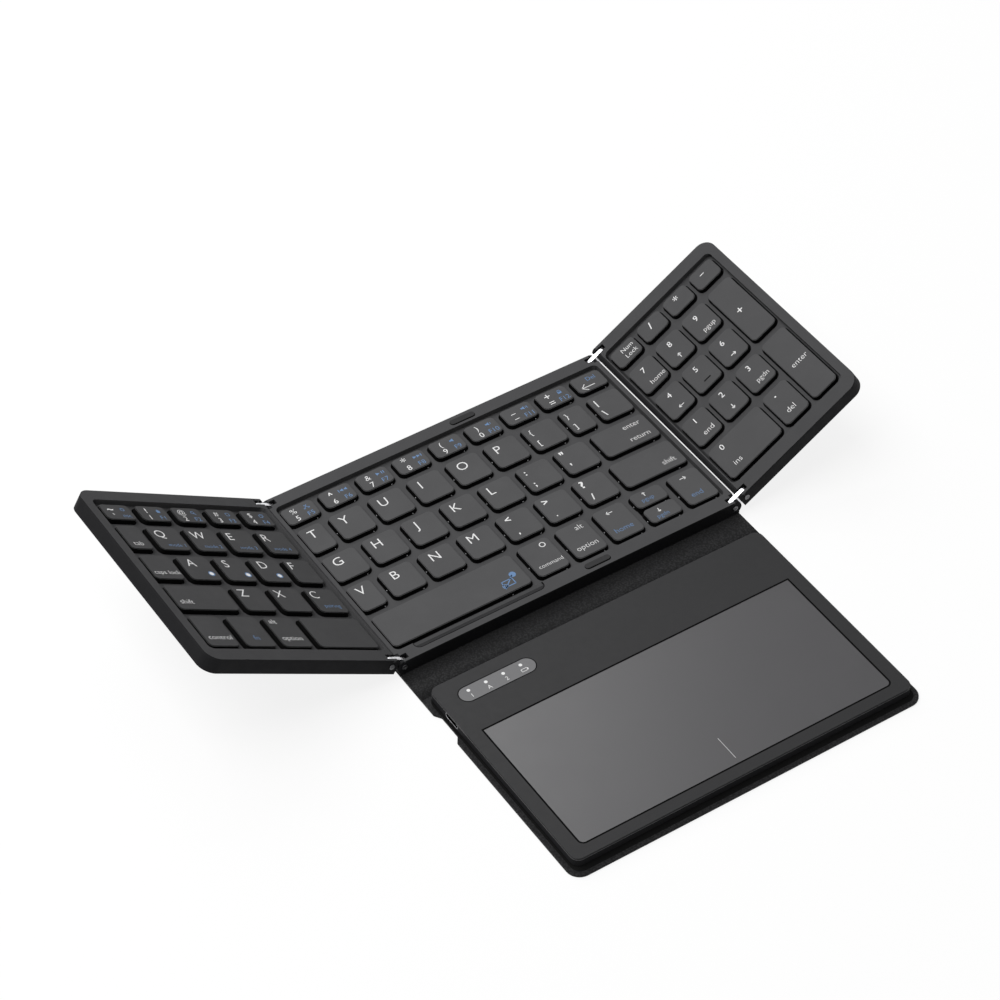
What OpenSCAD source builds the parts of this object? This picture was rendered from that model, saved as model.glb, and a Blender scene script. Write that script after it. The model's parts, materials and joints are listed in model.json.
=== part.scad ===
// Three-panel folding keyboard with a leather cover and a touchpad tray.
// Units are millimetres, +Z is up, +X is the typist's right and -Y is the typist's side.
// The origin is the middle of the underside of the leather under the centre panel.

/* [Panels] */
// Distance between the left and right hinge pins of the centre panel
pin_span = 160.6; // [158:0.2:164]
// Front-to-back depth of all three panels
panel_depth = 109.2; // [107:0.2:112]
// Thickness of each panel
panel_t = 6.8; // [6.8:0.1:7.4]
// Width of the left wing from its hinge pin to its outer edge
left_wing_w = 92.5; // [91:0.5:94]
// Gap between the outer edges of the two wings when they are folded
wing_meeting_gap = 1.0; // [0.6:0.1:2]
// Outer corner radius of the wings
wing_corner_r = 6; // [3:0.5:8]
// Upward tilt of both wings as the keyboard stands
rest_tilt = 31.4; // [0:0.2:60]

/* [Hinges] */
// Distance between the two pins of a hinge link
link_len = 6.8; // [6.7:0.1:7.2]
// Depth of the hinge pins below the top of a panel
pin_depth = 3.2; // [3.1:0.05:3.25]
// Radius of a hinge pin
pin_r = 0.9; // [0.7:0.05:1.1]
// Thickness of a link plate
link_t = 1.8; // [1.4:0.1:2]
// Radius of the round ends of a link
link_end_r = 2.5; // [2.2:0.1:2.6]
// Running clearance of a link bore on its pin
pin_play = 0.05; // [0.03:0.01:0.08]
// Radius of the half-round metal strips on the ends of the centre panel
strip_r = 2.0; // [1.6:0.1:2.2]

/* [Keys] */
// Depth of the key well below the rim
well_depth = 2.6; // [2.4:0.1:2.8]
// Depth of the key tops below the rim
key_sink = 0.6; // [0.4:0.1:0.8]
// Travel of a key
key_travel = 1.3; // [1:0.1:1.3]
// Gap between a keycap and its opening in the well floor
key_gap = 0.35; // [0.3:0.05:0.45]
// Corner radius of a keycap
key_corner_r = 2.2; // [1.5:0.1:2.6]
// Gap between two rows of keys
row_gap = 4.05; // [3.6:0.05:4.3]
// Depth of the front row as a multiple of the depth of a letter row
thumb_share = 1.22; // [1.1:0.02:1.3]
// Depth of the back row as a multiple of the depth of a letter row
number_share = 0.65; // [0.6:0.01:0.75]

/* [Cover] */
// Thickness of the leather-covered boards
leather_t = 1.4; // [1:0.1:2]
// How much shorter the front flap is than the panels are deep
flap_short = 1.5; // [0:0.1:3]
// Height of the crease axes above the inside of the leather
crease_h = 1.6; // [1:0.1:1.8]
// Corner radius at the front of the flap
flap_corner_r = 4.5; // [2:0.5:8]

/* [Touchpad tray] */
// Leather that shows on each side of the tray
tray_margin = 2.9; // [2:0.1:5]
// Leather that shows in front of the tray
tray_front_margin = 4.0; // [3:0.1:6]
// Thickness of the tray
tray_t = 5.0; // [5:0.1:5.6]
// Tray on each side of the touchpad
pad_side = 6.5; // [5:0.1:9]
// Tray in front of the touchpad
pad_front = 5.7; // [5:0.1:9]
// Tray between the touchpad and the spine
pad_behind = 29.5; // [29:0.1:36]
// Travel of the power switch
switch_travel = 2.5; // [2:0.1:3]

/* [Hidden] */
$fn = 48;

case_color = [0.10, 0.10, 0.11];
frame_color = [0.24, 0.24, 0.25];
key_color = [0.30, 0.30, 0.31];
leather_color = [0.14, 0.14, 0.15];
metal_color = [0.78, 0.78, 0.80];
glass_color = [0.50, 0.49, 0.51];
board_color = [0.10, 0.32, 0.20];
rubber_color = [0.06, 0.06, 0.06];

touch = 0.02;              // clearance of a pin that is pressed into its panel
cut = 1;                   // how far a cutter reaches past a surface
reach = 12;                // size of the cutters that trim a panel's hinge end

// Panel section, as heights above the hinge pin
top_z = pin_depth;
bottom_z = pin_depth - panel_t;
plate_t = 1.0;             // rim plate of a top frame
seam_z = top_z - plate_t;
floor_t = 0.8;             // floor of a bottom case
wall_t = 1.2;              // side wall of a bottom case
floor_z = bottom_z + floor_t;
well_z = top_z - well_depth;
well_plate_t = 0.8;        // plate that the keys come through
skirt_t = 0.7;             // wall of the key well
key_top_z = top_z - key_sink;
key_bottom_z = well_z - 0.4;
support_t = 0.6;           // key support plate with its membrane
support_play = 0.2;        // below a key that is pressed down
support_z = key_bottom_z - key_travel - support_play - support_t;
frame_slip = 0.3;          // gap between a top frame's skirt and the parts under it

// Hinge ends, measured outwards from a pin
centre_end = 2.2;          // end wall of the centre panel
wing_end = 2.9;            // end wall of a wing
ear_r = 3.2;               // rounded ears of the centre panel
centre_shoulder_r = 3.6;   // rounding of the centre panel's top edge
wing_shoulder_r = 3.5;     // rounding of a wing's top edge
slot_w = 2.6;              // width of a link slot
slot_r = 2.9;              // reach of a link slot below and behind the pin
ear_wall = 1.3;            // wall between a slot and the front or back face
ear_d = 5.3;               // depth of the solid corner that holds a pin
pin_head_r = 1.2;
pin_head_t = 0.3;
pin_dimple_r = 0.5;
pin_dimple_d = 0.2;
pin_len = 4.9;
link_rows = [ear_wall + slot_w / 2, panel_depth - ear_wall - slot_w / 2];

// Metal strips along the ends of the centre panel
strip_in = 8;                           // from the front and back faces
strip_len = 32.5;                       // length of the front strip
strip_gap = 23;                         // between the two strips of a side
strip_front = [strip_in, strip_in + strip_len];
strip_back = [strip_front[1] + strip_gap, panel_depth - strip_in];
strip_axis = ear_r - strip_r;

// Key wells and rows
rim_front = 6.7;           // rim in front of the wells
rim_back = 6.2;            // rim behind the wells
rim_outer = 4.1;           // rim on the outer side of a wing
well_in = 0.2;             // a well reaches this far past the pin towards the hinge
well_r = 2.5;
keys_in = 1.0;             // the keys start this far from the pin
keys_out = 6.1;            // and end this far from the outer edge of a wing
right_keys_out = 5.5;
keys_side = 1.1;           // they start this far from the pins of the centre panel
row_start = 9.1;
row_end_gap = 8.4;
stud_in = 6;               // from the keys' front and back edges to the outer studs
stud_rows = [row_start + stud_in, panel_depth / 2, panel_depth - row_end_gap - stud_in];
right_wing_w = pin_span - left_wing_w - wing_meeting_gap;
key_d = (panel_depth - row_start - row_end_gap - 4 * row_gap) / (3 + thumb_share + number_share);
thumb_d = key_d * thumb_share;
number_d = key_d * number_share;
row_depths = [thumb_d, key_d, key_d, key_d, number_d];
left_keys_w = left_wing_w - keys_in - keys_out;
right_keys_w = right_wing_w - keys_in - right_keys_out;
centre_keys_w = pin_span - 2 * keys_side;

// Key widths, in each row from the front row to the back row
letter_w = 15.3;
narrow_w = 11.1;           // keys cut short at a panel's edge
number_w = 14.7;
thumb_w = 14.7;
space_w = 65.6;
up_down_w = 15.2;
right_shift_w = 30.3;
enter_w = 26.7;
left_letter_w = 15;
left_mid_w = 14.6;         // middle row of the left wing
left_first_w = 13.4;
left_number_w = 14.5;
left_space_w = 30.6;
left_shift_w = 29.4;
pad_gap = 2.7;
pad_key_w = (right_keys_w - 3 * pad_gap) / 4;
pad_wide_w = 2 * pad_key_w + pad_gap;

// The centre panel's rows from left to right: node of the key, width
centre_rows = [
    [["space_key", space_w], ["modifier_keys", thumb_w], ["modifier_keys", thumb_w],
     ["left_arrow_key", thumb_w], ["up_arrow_key", up_down_w], ["right_arrow_key", thumb_w]],
    [["row_4_keys", narrow_w], for (i = [1:6]) ["row_4_keys", letter_w],
     ["right_shift_key", right_shift_w]],
    [for (i = [1:7]) ["row_3_keys", letter_w], ["enter_key", enter_w]],
    [["row_2_keys", narrow_w], for (i = [1:6]) ["row_2_keys", letter_w],
     ["row_2_keys", narrow_w], ["row_2_keys", letter_w]],
    [for (i = [1:8]) ["row_1_keys", number_w], ["backspace_key", number_w]],
];

// The left wing's rows from the hinge outwards
left_rows = [
    [["left_space_key", left_space_w], for (i = [1:3]) ["left_modifier_keys", thumb_w]],
    [for (i = [1:3]) ["left_row_4_keys", left_letter_w], ["left_shift_key", left_shift_w]],
    [["left_row_3_keys", left_first_w], ["left_row_3_keys", left_mid_w],
     ["left_row_3_keys", left_mid_w], ["left_row_3_keys", letter_w],
     ["caps_lock_key", left_mid_w]],
    [for (i = [1:4]) ["left_row_2_keys", left_letter_w], ["tab_key", narrow_w]],
    [for (i = [1:5]) ["left_row_1_keys", left_number_w]],
];

// The right wing's rows from the hinge outwards; the last column holds the two tall keys
right_rows = [
    [["pad_zero_key", pad_wide_w], ["pad_point_key", pad_key_w]],
    [for (i = [1:3]) ["pad_row_4_keys", pad_key_w]],
    [for (i = [1:3]) ["pad_row_3_keys", pad_key_w]],
    [for (i = [1:3]) ["pad_row_2_keys", pad_key_w]],
    [for (i = [1:4]) ["pad_row_1_keys", pad_key_w]],
];

centre_key_nodes = ["space_key", "modifier_keys", "left_arrow_key", "up_arrow_key",
    "down_arrow_key", "right_arrow_key", "row_4_keys", "right_shift_key", "row_3_keys",
    "enter_key", "row_2_keys", "row_1_keys", "backspace_key"];
left_key_nodes = ["left_space_key", "left_modifier_keys", "left_row_4_keys", "left_shift_key",
    "left_row_3_keys", "caps_lock_key", "left_row_2_keys", "tab_key", "left_row_1_keys"];
right_key_nodes = ["pad_zero_key", "pad_point_key", "pad_row_4_keys", "pad_row_3_keys",
    "pad_row_2_keys", "pad_row_1_keys", "pad_plus_key", "pad_enter_key"];

// Keycap section
cap_wall = 0.9;
cap_top = 1.0;
cap_bevel = 0.25;
arrow_gap = 1.5;           // gap between the half-height arrow keys
pad_column = 3;            // column of the tall keypad keys

// Where the panels stand
pin_x = pin_span / 2;
front_y = -panel_depth / 2;
pin_z = leather_t - bottom_z;

// Scoop in the rim in front of the space key
scoop_x = [8, 8 + space_w - 4.6];
scoop_front = 3.2;
scoop_ramp = 1.9;                       // steeper front part
scoop_ramp_h = 0.52;
scoop_depth = 0.75;
scoop_r = 2.4;

// Rubber pads on the rims of the centre panel, where the folded wings meet
rim_pad_x = 13.85;
rim_pad_w = 12;
rim_pad_d = 2.6;
rim_pad_sunk = 0.4;
rim_pad_proud = 0.3;
rim_pad_rows = [3.5, panel_depth - 3.2];

// Cover
fold_gap = link_len - 2 * pin_depth;   // between the folded panels
stack_gap = 0.3;                       // between the folded wings and the tray
stack_h = 2 * panel_t + fold_gap + stack_gap + tray_t;
crease_gap = 0.2;                      // from a crease axis to the boards beside it
spine_len = stack_h - 2 * crease_h;
cover_w = pin_span + 2 * centre_end;
flap_len = panel_depth - flap_short;
spine_axis_y = front_y - crease_gap;
flap_axis_y = spine_axis_y - spine_len;
base_back = 0.8;                       // leather behind the centre panel
base_corner_r = 3;
notch_d = 2;                           // notch in the leather beside the charging port
notch_half = 8.7;
notch_ramp = 3;                        // length of the sloping part at each end
slit_w = 0.5;
slit_len = 12;
slit_deep = 0.3;
slit_in = 12;                          // from the side of the flap to the middle of a slit
slit_front = 3.5;
slit_back = 4.5;

// Touchpad tray
tray_z = leather_t;
tray_floor_t = 0.7;
tray_plate_t = 0.9;
tray_wall_t = 1.2;
tray_w = cover_w - 2 * tray_margin;
tray_back_y = flap_axis_y - crease_gap;
tray_front_y = flap_axis_y - flap_len + tray_front_margin;
tray_top_z = tray_z + tray_t;
tray_seam_z = tray_top_z - tray_plate_t;
tray_floor_z = tray_z + tray_floor_t;
tray_r = 3.5;
tray_lip_h = 0.9;
tray_lip_t = 0.8;
tray_slip = 0.15;
pad_w = tray_w - 2 * pad_side;
pad_d = tray_back_y - tray_front_y - pad_front - pad_behind;
pad_slip = 0.35;
pad_sink = 0.05;
pad_front_r = 2.2;
pad_front_y = tray_front_y + pad_front;
sensor_t = 0.8;
sensor_lip = 1.0;

// Indicator window and lights
window_side = 7.8;                      // from the left wall of the tray
window_w = 35.3;
window_behind = 6.3;                    // from the back wall of the tray
window_d = 8.2;
window_x = [window_side - tray_w / 2, window_side + window_w - tray_w / 2];
window_y = [tray_back_y - window_behind - window_d, tray_back_y - window_behind];
window_slip = 0.1;
window_flange = 0.8;
window_flange_t = 0.5;
led_x = window_x[0] + 5.1;
led_pitch = 8.1;
led_y = tray_back_y - 8.9;
led_r = 0.8;
led_h = 0.75;

// Electronics in the tray
board_t = 0.8;
board_edge = 1.4;                      // from the walls of the tray to the main board
board_x = [-tray_w / 2 + tray_wall_t + board_edge, tray_w / 2 - tray_wall_t - board_edge];
board_y = [tray_back_y - pad_behind + 1.6, tray_back_y - 3];
board_z = tray_floor_z + 1.3;
port_in = 16.8;                         // from the back wall of the tray
port_y = tray_back_y - port_in;
port_w = 8.9;
port_h = 3.1;
port_d = 7.3;
port_wall = 0.3;
port_z = tray_floor_z + port_h / 2 + 0.15;
port_slip = 0.1;
port_tongue_t = 0.7;
port_tongue_w = 6.7;
switch_in = 19.9;                       // from the back wall of the tray
switch_y = tray_back_y - switch_in;
switch_body_w = 3.4;
switch_body_d = 8;
switch_knob_w = 2.4;
switch_knob_h = 1.2;
switch_knob_out = 1.4;
switch_slot_slip = 0.3;
battery_x = [-pad_w / 2 + 11, pad_w / 2 - 11];
battery_y = [tray_front_y + 8.6, tray_back_y - pad_behind - 5.3];
battery_h = 2.3;
battery_r = 1.5;
stud_r = 1.5;
tray_stud_x = tray_w * 3 / 8;
tray_stud_in = 3;                      // from the front edge of the main board

function add_up(v, n) = n <= 0 ? 0 : v[n - 1] + add_up(v, n - 1);
function widths(row) = [for (key = row) key[1]];
function row_y(r) = row_start + add_up(row_depths, r) + r * row_gap;
function row_end(r) = row_y(r) + row_depths[r];
function gap_in(row, total) = (total - add_up(widths(row), len(row))) / (len(row) - 1);
function key_x(row, k, gap) = add_up(widths(row), k) + k * gap;

// Frames ------------------------------------------------------------------

// At a hinge of the centre panel: +X points outwards, y = 0 is the front face, z = 0 the pin
module at_hinge(side) {
    translate([side * pin_x, front_y, pin_z])
        mirror([side < 0 ? 1 : 0, 0, 0])
            children();
}

// On a link: the same frame, raised by the tilt
module on_link(side) {
    at_hinge(side)
        rotate([0, -rest_tilt, 0])
            children();
}

// On a wing: origin at the wing's own pin
module on_wing(side) {
    on_link(side)
        translate([link_len, 0, 0])
            children();
}

// On the centre panel with x = 0 at its left pin
module on_centre() {
    translate([-pin_x, front_y, pin_z])
        children();
}

// Shapes ------------------------------------------------------------------

// Rectangle with the corner radii ra at its low x end and rb at its high x end; they are
// equal, or one of them is 0
module slab_2d(x0, x1, y0, y1, ra, rb) {
    r = max(ra, rb);
    translate([x0 + ra, y0])
        square([x1 - x0 - ra - rb, y1 - y0]);
    translate([x0, y0 + r])
        square([x1 - x0, y1 - y0 - 2 * r]);
    for (y = [y0 + r, y1 - r]) {
        if (ra > 0)
            translate([x0 + ra, y])
                circle(ra);
        if (rb > 0)
            translate([x1 - rb, y])
                circle(rb);
    }
}

module slab(x0, x1, y0, y1, z0, z1, ra = 0, rb = 0) {
    translate([0, 0, z0])
        linear_extrude(z1 - z0)
            slab_2d(x0, x1, y0, y1, ra, rb);
}

// Extrudes a section drawn in x and z along +Y from y0 to y1
module along_y(y0, y1) {
    translate([0, y1, 0])
        rotate([90, 0, 0])
            linear_extrude(y1 - y0)
                children();
}

module rod_y(r, y0, y1) {
    along_y(y0, y1)
        circle(r);
}

// Hinge cutters -------------------------------------------------------------

// Slots for both links of a hinge; the link leaves towards +X where dir is 1
module link_slots(dir) {
    for (y = link_rows)
        along_y(y - slot_w / 2, y + slot_w / 2) {
            circle(slot_r);
            translate([-slot_r, 0])
                square([2 * slot_r, reach]);
            translate([dir > 0 ? 0 : -reach, -slot_r])
                square([reach, reach + slot_r]);
        }
}

// Rounds the top edge of a hinge end about the pin
module shoulder_cut(dir, r) {
    along_y(-cut, panel_depth + cut)
        difference() {
            translate([dir > 0 ? 0 : -reach, 0])
                square([reach, reach]);
            circle(r);
        }
}

// Bores for the pressed pins, through the front and back ears
module pin_bores() {
    rod_y(pin_r + touch, -cut, pin_len + touch);
    rod_y(pin_r + touch, panel_depth - pin_len - touch, panel_depth + cut);
}

// Panels --------------------------------------------------------------------

// Cavity of a bottom case between x0 and x1, without the solid corners that hold the pins
module case_cavity(x0, x1, ear_left, ear_right, ra, rb) {
    translate([0, 0, floor_z])
        linear_extrude(seam_z - floor_z + cut)
            difference() {
                slab_2d(x0, x1, wall_t, panel_depth - wall_t, ra, rb);
                for (y = [-cut, panel_depth - ear_d]) {
                    translate([x0 - cut, y])
                        square([ear_left + cut, ear_d + cut]);
                    translate([x1 - ear_right, y])
                        square([ear_right + cut, ear_d + cut]);
                }
            }
}

// Studs under a key support plate
module support_studs(xs) {
    for (x = xs)
        for (y = stud_rows)
            translate([x, y, floor_z])
                cylinder(r = stud_r, h = support_z - floor_z);
}

// Key well: a box open at the top, without the openings for the keys
module well_skirt(x0, x1, ra, rb) {
    difference() {
        slab(x0 - skirt_t, x1 + skirt_t, rim_front - skirt_t, panel_depth - rim_back + skirt_t,
            well_z - well_plate_t, seam_z, ra + skirt_t, rb + skirt_t);
        slab(x0, x1, rim_front, panel_depth - rim_back, well_z, seam_z + cut, ra, rb);
    }
}

// Rim plate with the well and the link slots cut out
module rim_plate(x0, x1, well_x0, well_x1, ra, rb) {
    difference() {
        slab(x0, x1, 0, panel_depth, seam_z, top_z, ra, rb);
        slab(well_x0, well_x1, rim_front, panel_depth - rim_back, seam_z - cut, top_z + cut,
            well_r, well_r);
    }
}

// Openings in the well floor, one rectangle for each key of a row
module row_openings(row, r, total) {
    gap = gap_in(row, total);
    for (k = [0:len(row) - 1])
        key_opening(key_x(row, k, gap), row_y(r), row[k][1], row_depths[r]);
}

module key_opening(x, y, w, d) {
    slab(x - key_gap, x + w + key_gap, y - key_gap, y + d + key_gap, well_z - well_plate_t - cut,
        well_z + cut, key_corner_r + key_gap, key_corner_r + key_gap);
}

module wing_case(side, w) {
    on_wing(side)
        difference() {
            union() {
                difference() {
                    slab(-wing_end, w, 0, panel_depth, bottom_z, seam_z, 0, wing_corner_r);
                    case_cavity(wall_t - wing_end, w - wall_t, ear_d, 0, 0,
                        wing_corner_r - wall_t);
                }
                support_studs([w / 4, w * 3 / 4]);
            }
            link_slots(-1);
            shoulder_cut(-1, wing_shoulder_r);
            pin_bores();
        }
}

module wing_frame(side, w, rows, total) {
    on_wing(side)
        difference() {
            union() {
                rim_plate(-wing_end, w, -well_in, w - rim_outer, 0, wing_corner_r);
                well_skirt(-well_in, w - rim_outer, well_r, well_r);
            }
            link_slots(-1);
            shoulder_cut(-1, wing_shoulder_r);
            translate([keys_in, 0, 0]) {
                if (side < 0)
                    for (r = [0:4])
                        row_openings(rows[r], r, total);
                else
                    pad_openings();
            }
        }
}

// The key pad's openings: a row keeps the pitch of its four columns
module pad_openings() {
    for (r = [0:4])
        for (k = [0:len(right_rows[r]) - 1])
            key_opening(key_x(right_rows[r], k, pad_gap), row_y(r), right_rows[r][k][1],
                row_depths[r]);
    for (r = [0, 2])
        key_opening(pad_tall_x(), row_y(r), pad_key_w, row_end(r + 1) - row_y(r));
}

function pad_tall_x() = pad_column * (pad_key_w + pad_gap);

// Covers --------------------------------------------------------------------

module cover_base_board() {
    color(leather_color)
        rotate([0, 0, 90])
            slab(front_y, -front_y + base_back, -cover_w / 2, cover_w / 2, 0, leather_t, 0,
                base_corner_r);
}

module cover_spine_board() {
    color(leather_color)
        translate([-cover_w / 2, flap_axis_y + crease_gap, 0])
            cube([cover_w, spine_len - 2 * crease_gap, leather_t]);
}

module cover_flap_board() {
    color(leather_color)
        difference() {
            rotate([0, 0, -90])
                slab(-flap_axis_y + crease_gap, -flap_axis_y + flap_len, -cover_w / 2,
                    cover_w / 2, 0, leather_t, 0, flap_corner_r);
            charging_notch();
            flap_slits();
        }
}

module charging_notch() {
    spread = notch_ramp * cut / notch_d;
    translate([-cover_w / 2, port_y, -cut])
        linear_extrude(leather_t + 2 * cut)
            polygon([[-cut, notch_half + spread], [notch_d, notch_half - notch_ramp],
                [notch_d, notch_ramp - notch_half], [-cut, -notch_half - spread]]);
}

// Four short slits near the corners of the outer side of the flap
module flap_slits() {
    for (side = [-1, 1])
        for (y = [flap_axis_y - flap_len + slit_front, flap_axis_y - slit_back])
            translate([side * (cover_w / 2 - slit_in) - slit_len / 2, y - slit_w / 2, -cut])
                cube([slit_len, slit_w, cut + slit_deep]);
}

// Centre panel ----------------------------------------------------------------

module centre_bottom_case() {
    color(case_color)
        difference() {
            union() {
                on_centre()
                    difference() {
                        slab(-centre_end, pin_span + centre_end, 0, panel_depth, bottom_z, seam_z);
                        case_cavity(wall_t - centre_end, pin_span + centre_end - wall_t, ear_d,
                            ear_d, 0, 0);
                    }
                on_centre()
                    support_studs([for (i = [1:2:7]) pin_span * i / 8]);
                for (side = [-1, 1])
                    at_hinge(side) {
                        rod_y(ear_r, 0, ear_d);
                        rod_y(ear_r, panel_depth - ear_d, panel_depth);
                    }
            }
            for (side = [-1, 1])
                at_hinge(side) {
                    link_slots(1);
                    shoulder_cut(1, centre_shoulder_r);
                    pin_bores();
                }
            on_centre()
                translate([0, 0, seam_z])
                    linear_extrude(top_z)
                        square([pin_span, panel_depth]);
        }
}

module centre_top_frame() {
    color(frame_color)
        difference() {
            on_centre()
                difference() {
                    union() {
                        rim_plate(-centre_end, pin_span + centre_end, well_in, pin_span - well_in,
                            0, 0);
                        well_skirt(well_in, pin_span - well_in, well_r, well_r);
                    }
                    centre_openings();
                    space_scoop();
                    for (y = rim_pad_rows)
                        translate([pin_x + rim_pad_x, y, 0])
                            rim_pad(touch, top_z - rim_pad_sunk, top_z + cut);
                }
            for (side = [-1, 1])
                at_hinge(side) {
                    link_slots(1);
                    shoulder_cut(1, centre_shoulder_r);
                    ear_cut();
                }
        }
}

// Round-cornered scoop that falls steeply and then gently towards the keys
module space_scoop() {
    back = rim_front + scoop_r;
    intersection() {
        slab(scoop_x[0], scoop_x[1], scoop_front, back, top_z - scoop_depth, top_z + cut, scoop_r,
            scoop_r);
        translate([scoop_x[0], 0, top_z])
            rotate([90, 0, 90])
                linear_extrude(scoop_x[1] - scoop_x[0])
                    polygon([[scoop_front, 0], [scoop_front + scoop_ramp, -scoop_ramp_h],
                        [rim_front, -scoop_depth], [back, -scoop_depth], [back, cut],
                        [scoop_front, cut]]);
    }
}

// Room for the upper halves of the ears, which belong to the bottom case
module ear_cut() {
    for (y = [-cut, panel_depth - ear_d - touch])
        translate([-touch, y, bottom_z])
            cube([reach, ear_d + cut + touch, reach]);
}

module centre_openings() {
    translate([centre_keys_x(), 0, 0])
        for (r = [0:4])
            row_openings(centre_rows[r], r, centre_keys_w);
}

function centre_keys_x() = (pin_span - centre_keys_w) / 2;

// Round-ended pad from z0 to z1, centred on x and y, grown by the slip
module rim_pad(slip, z0, z1) {
    r = rim_pad_d / 2 + slip;
    half = rim_pad_w / 2 - rim_pad_d / 2;
    translate([0, 0, z0])
        linear_extrude(z1 - z0) {
            translate([-half, -r])
                square([2 * half, 2 * r]);
            for (x = [-half, half])
                translate([x, 0])
                    circle(r);
        }
}

module rubber_rim_pads() {
    color(rubber_color)
        on_centre()
            for (y = rim_pad_rows)
                translate([pin_x + rim_pad_x, y, 0])
                    rim_pad(0, top_z - rim_pad_sunk, top_z + rim_pad_proud);
}

// Half-round strips on the end walls, two to a side, with a gap in the middle
module hinge_barrel_strips() {
    color(case_color)
        for (side = [-1, 1])
            at_hinge(side)
                for (run = [strip_front, strip_back])
                    along_y(run[0], run[1])
                        difference() {
                            translate([strip_axis, 0])
                                circle(strip_r);
                            translate([centre_end - reach, -reach / 2])
                                square([reach, reach]);
                        }
}

module centre_key_support() {
    color(metal_color)
        on_centre()
            slab(wall_t, pin_span - wall_t, ear_d + frame_slip, panel_depth - ear_d - frame_slip,
                support_z, support_z + support_t);
}

// Wings -----------------------------------------------------------------------

module left_bottom_case() {
    color(case_color)
        wing_case(-1, left_wing_w);
}

module left_top_frame() {
    color(frame_color)
        wing_frame(-1, left_wing_w, left_rows, left_keys_w);
}

module right_bottom_case() {
    color(case_color)
        wing_case(1, right_wing_w);
}

module right_top_frame() {
    color(frame_color)
        wing_frame(1, right_wing_w, right_rows, right_keys_w);
}

module wing_key_support(side, w) {
    color(metal_color)
        on_wing(side)
            slab(0, w - wall_t - frame_slip, ear_d + frame_slip, panel_depth - ear_d - frame_slip,
                support_z, support_z + support_t, 0, 2);
}

module left_key_support() {
    wing_key_support(-1, left_wing_w);
}

module right_key_support() {
    wing_key_support(1, right_wing_w);
}

// Hinge links and pins ----------------------------------------------------------

module links(side) {
    color(metal_color)
        on_link(side)
            for (y = link_rows)
                along_y(y - link_t / 2, y + link_t / 2)
                    difference() {
                        union() {
                            circle(link_end_r);
                            translate([link_len, 0])
                                circle(link_end_r);
                            translate([0, -link_end_r])
                                square([link_len, 2 * link_end_r]);
                        }
                        circle(pin_r + pin_play);
                        translate([link_len, 0])
                            circle(pin_r + pin_play);
                    }
}

module left_hinge_links() {
    links(-1);
}

module right_hinge_links() {
    links(1);
}

// Front and back pin of a hinge, each with its head against the outer face
module pin_pair() {
    difference() {
        union() {
            rod_y(pin_r, 0, pin_len);
            rod_y(pin_head_r, -pin_head_t, 0);
            rod_y(pin_r, panel_depth - pin_len, panel_depth);
            rod_y(pin_head_r, panel_depth, panel_depth + pin_head_t);
        }
        rod_y(pin_dimple_r, -pin_head_t - cut, pin_dimple_d - pin_head_t);
        rod_y(pin_dimple_r, panel_depth + pin_head_t - pin_dimple_d,
            panel_depth + pin_head_t + cut);
    }
}

module centre_hinge_pins() {
    color(metal_color)
        for (side = [-1, 1])
            at_hinge(side)
                pin_pair();
}

module left_hinge_pins() {
    color(metal_color)
        on_wing(-1)
            pin_pair();
}

module right_hinge_pins() {
    color(metal_color)
        on_wing(1)
            pin_pair();
}

// Keys --------------------------------------------------------------------------

// Hollow keycap with its low front corner at x, y
module keycap(x, y, w, d) {
    r = key_corner_r;
    difference() {
        union() {
            slab(x, x + w, y, y + d, key_bottom_z, key_top_z - cap_bevel, r, r);
            slab(x + cap_bevel, x + w - cap_bevel, y + cap_bevel, y + d - cap_bevel,
                key_top_z - cap_bevel, key_top_z, r - cap_bevel, r - cap_bevel);
        }
        translate([x + cap_wall, y + cap_wall, key_bottom_z - cut])
            cube([w - 2 * cap_wall, d - 2 * cap_wall, key_top_z - cap_top - key_bottom_z + cut]);
    }
}

// The keys of one row that belong to a node
module row_keys(name, row, r, gap) {
    for (k = [0:len(row) - 1])
        if (row[k][0] == name)
            keycap(key_x(row, k, gap), row_y(r), row[k][1], row_depths[r]);
}

function up_arrow_d() = (thumb_d - arrow_gap) / 2;

module centre_keys(name) {
    color(key_color)
        on_centre()
            translate([centre_keys_x(), 0, 0]) {
                if (name == "up_arrow_key" || name == "down_arrow_key")
                    arrow_key(name == "up_arrow_key" ? up_arrow_d() + arrow_gap : 0);
                else
                    for (r = [0:4])
                        row_keys(name, centre_rows[r], r, gap_in(centre_rows[r], centre_keys_w));
            }
}

// One of the two half-height keys that share the place of the up arrow in the front row
module arrow_key(y) {
    row = centre_rows[0];
    k = 4;
    keycap(key_x(row, k, gap_in(row, centre_keys_w)), row_y(0) + y, row[k][1], up_arrow_d());
}

module left_keys(name) {
    color(key_color)
        on_wing(-1)
            translate([keys_in, 0, 0])
                for (r = [0:4])
                    row_keys(name, left_rows[r], r, gap_in(left_rows[r], left_keys_w));
}

module right_keys(name) {
    color(key_color)
        on_wing(1)
            translate([keys_in, 0, 0]) {
                for (r = [0:4])
                    row_keys(name, right_rows[r], r, pad_gap);
                if (name == "pad_enter_key")
                    keycap(pad_tall_x(), row_y(0), pad_key_w, row_end(1) - row_y(0));
                if (name == "pad_plus_key")
                    keycap(pad_tall_x(), row_y(2), pad_key_w, row_end(3) - row_y(2));
            }
}

// Tray --------------------------------------------------------------------------

module tray_outline(inset, r) {
    slab_2d(inset - tray_w / 2, tray_w / 2 - inset, tray_front_y + inset, tray_back_y - inset,
        r - inset, r - inset);
}

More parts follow.
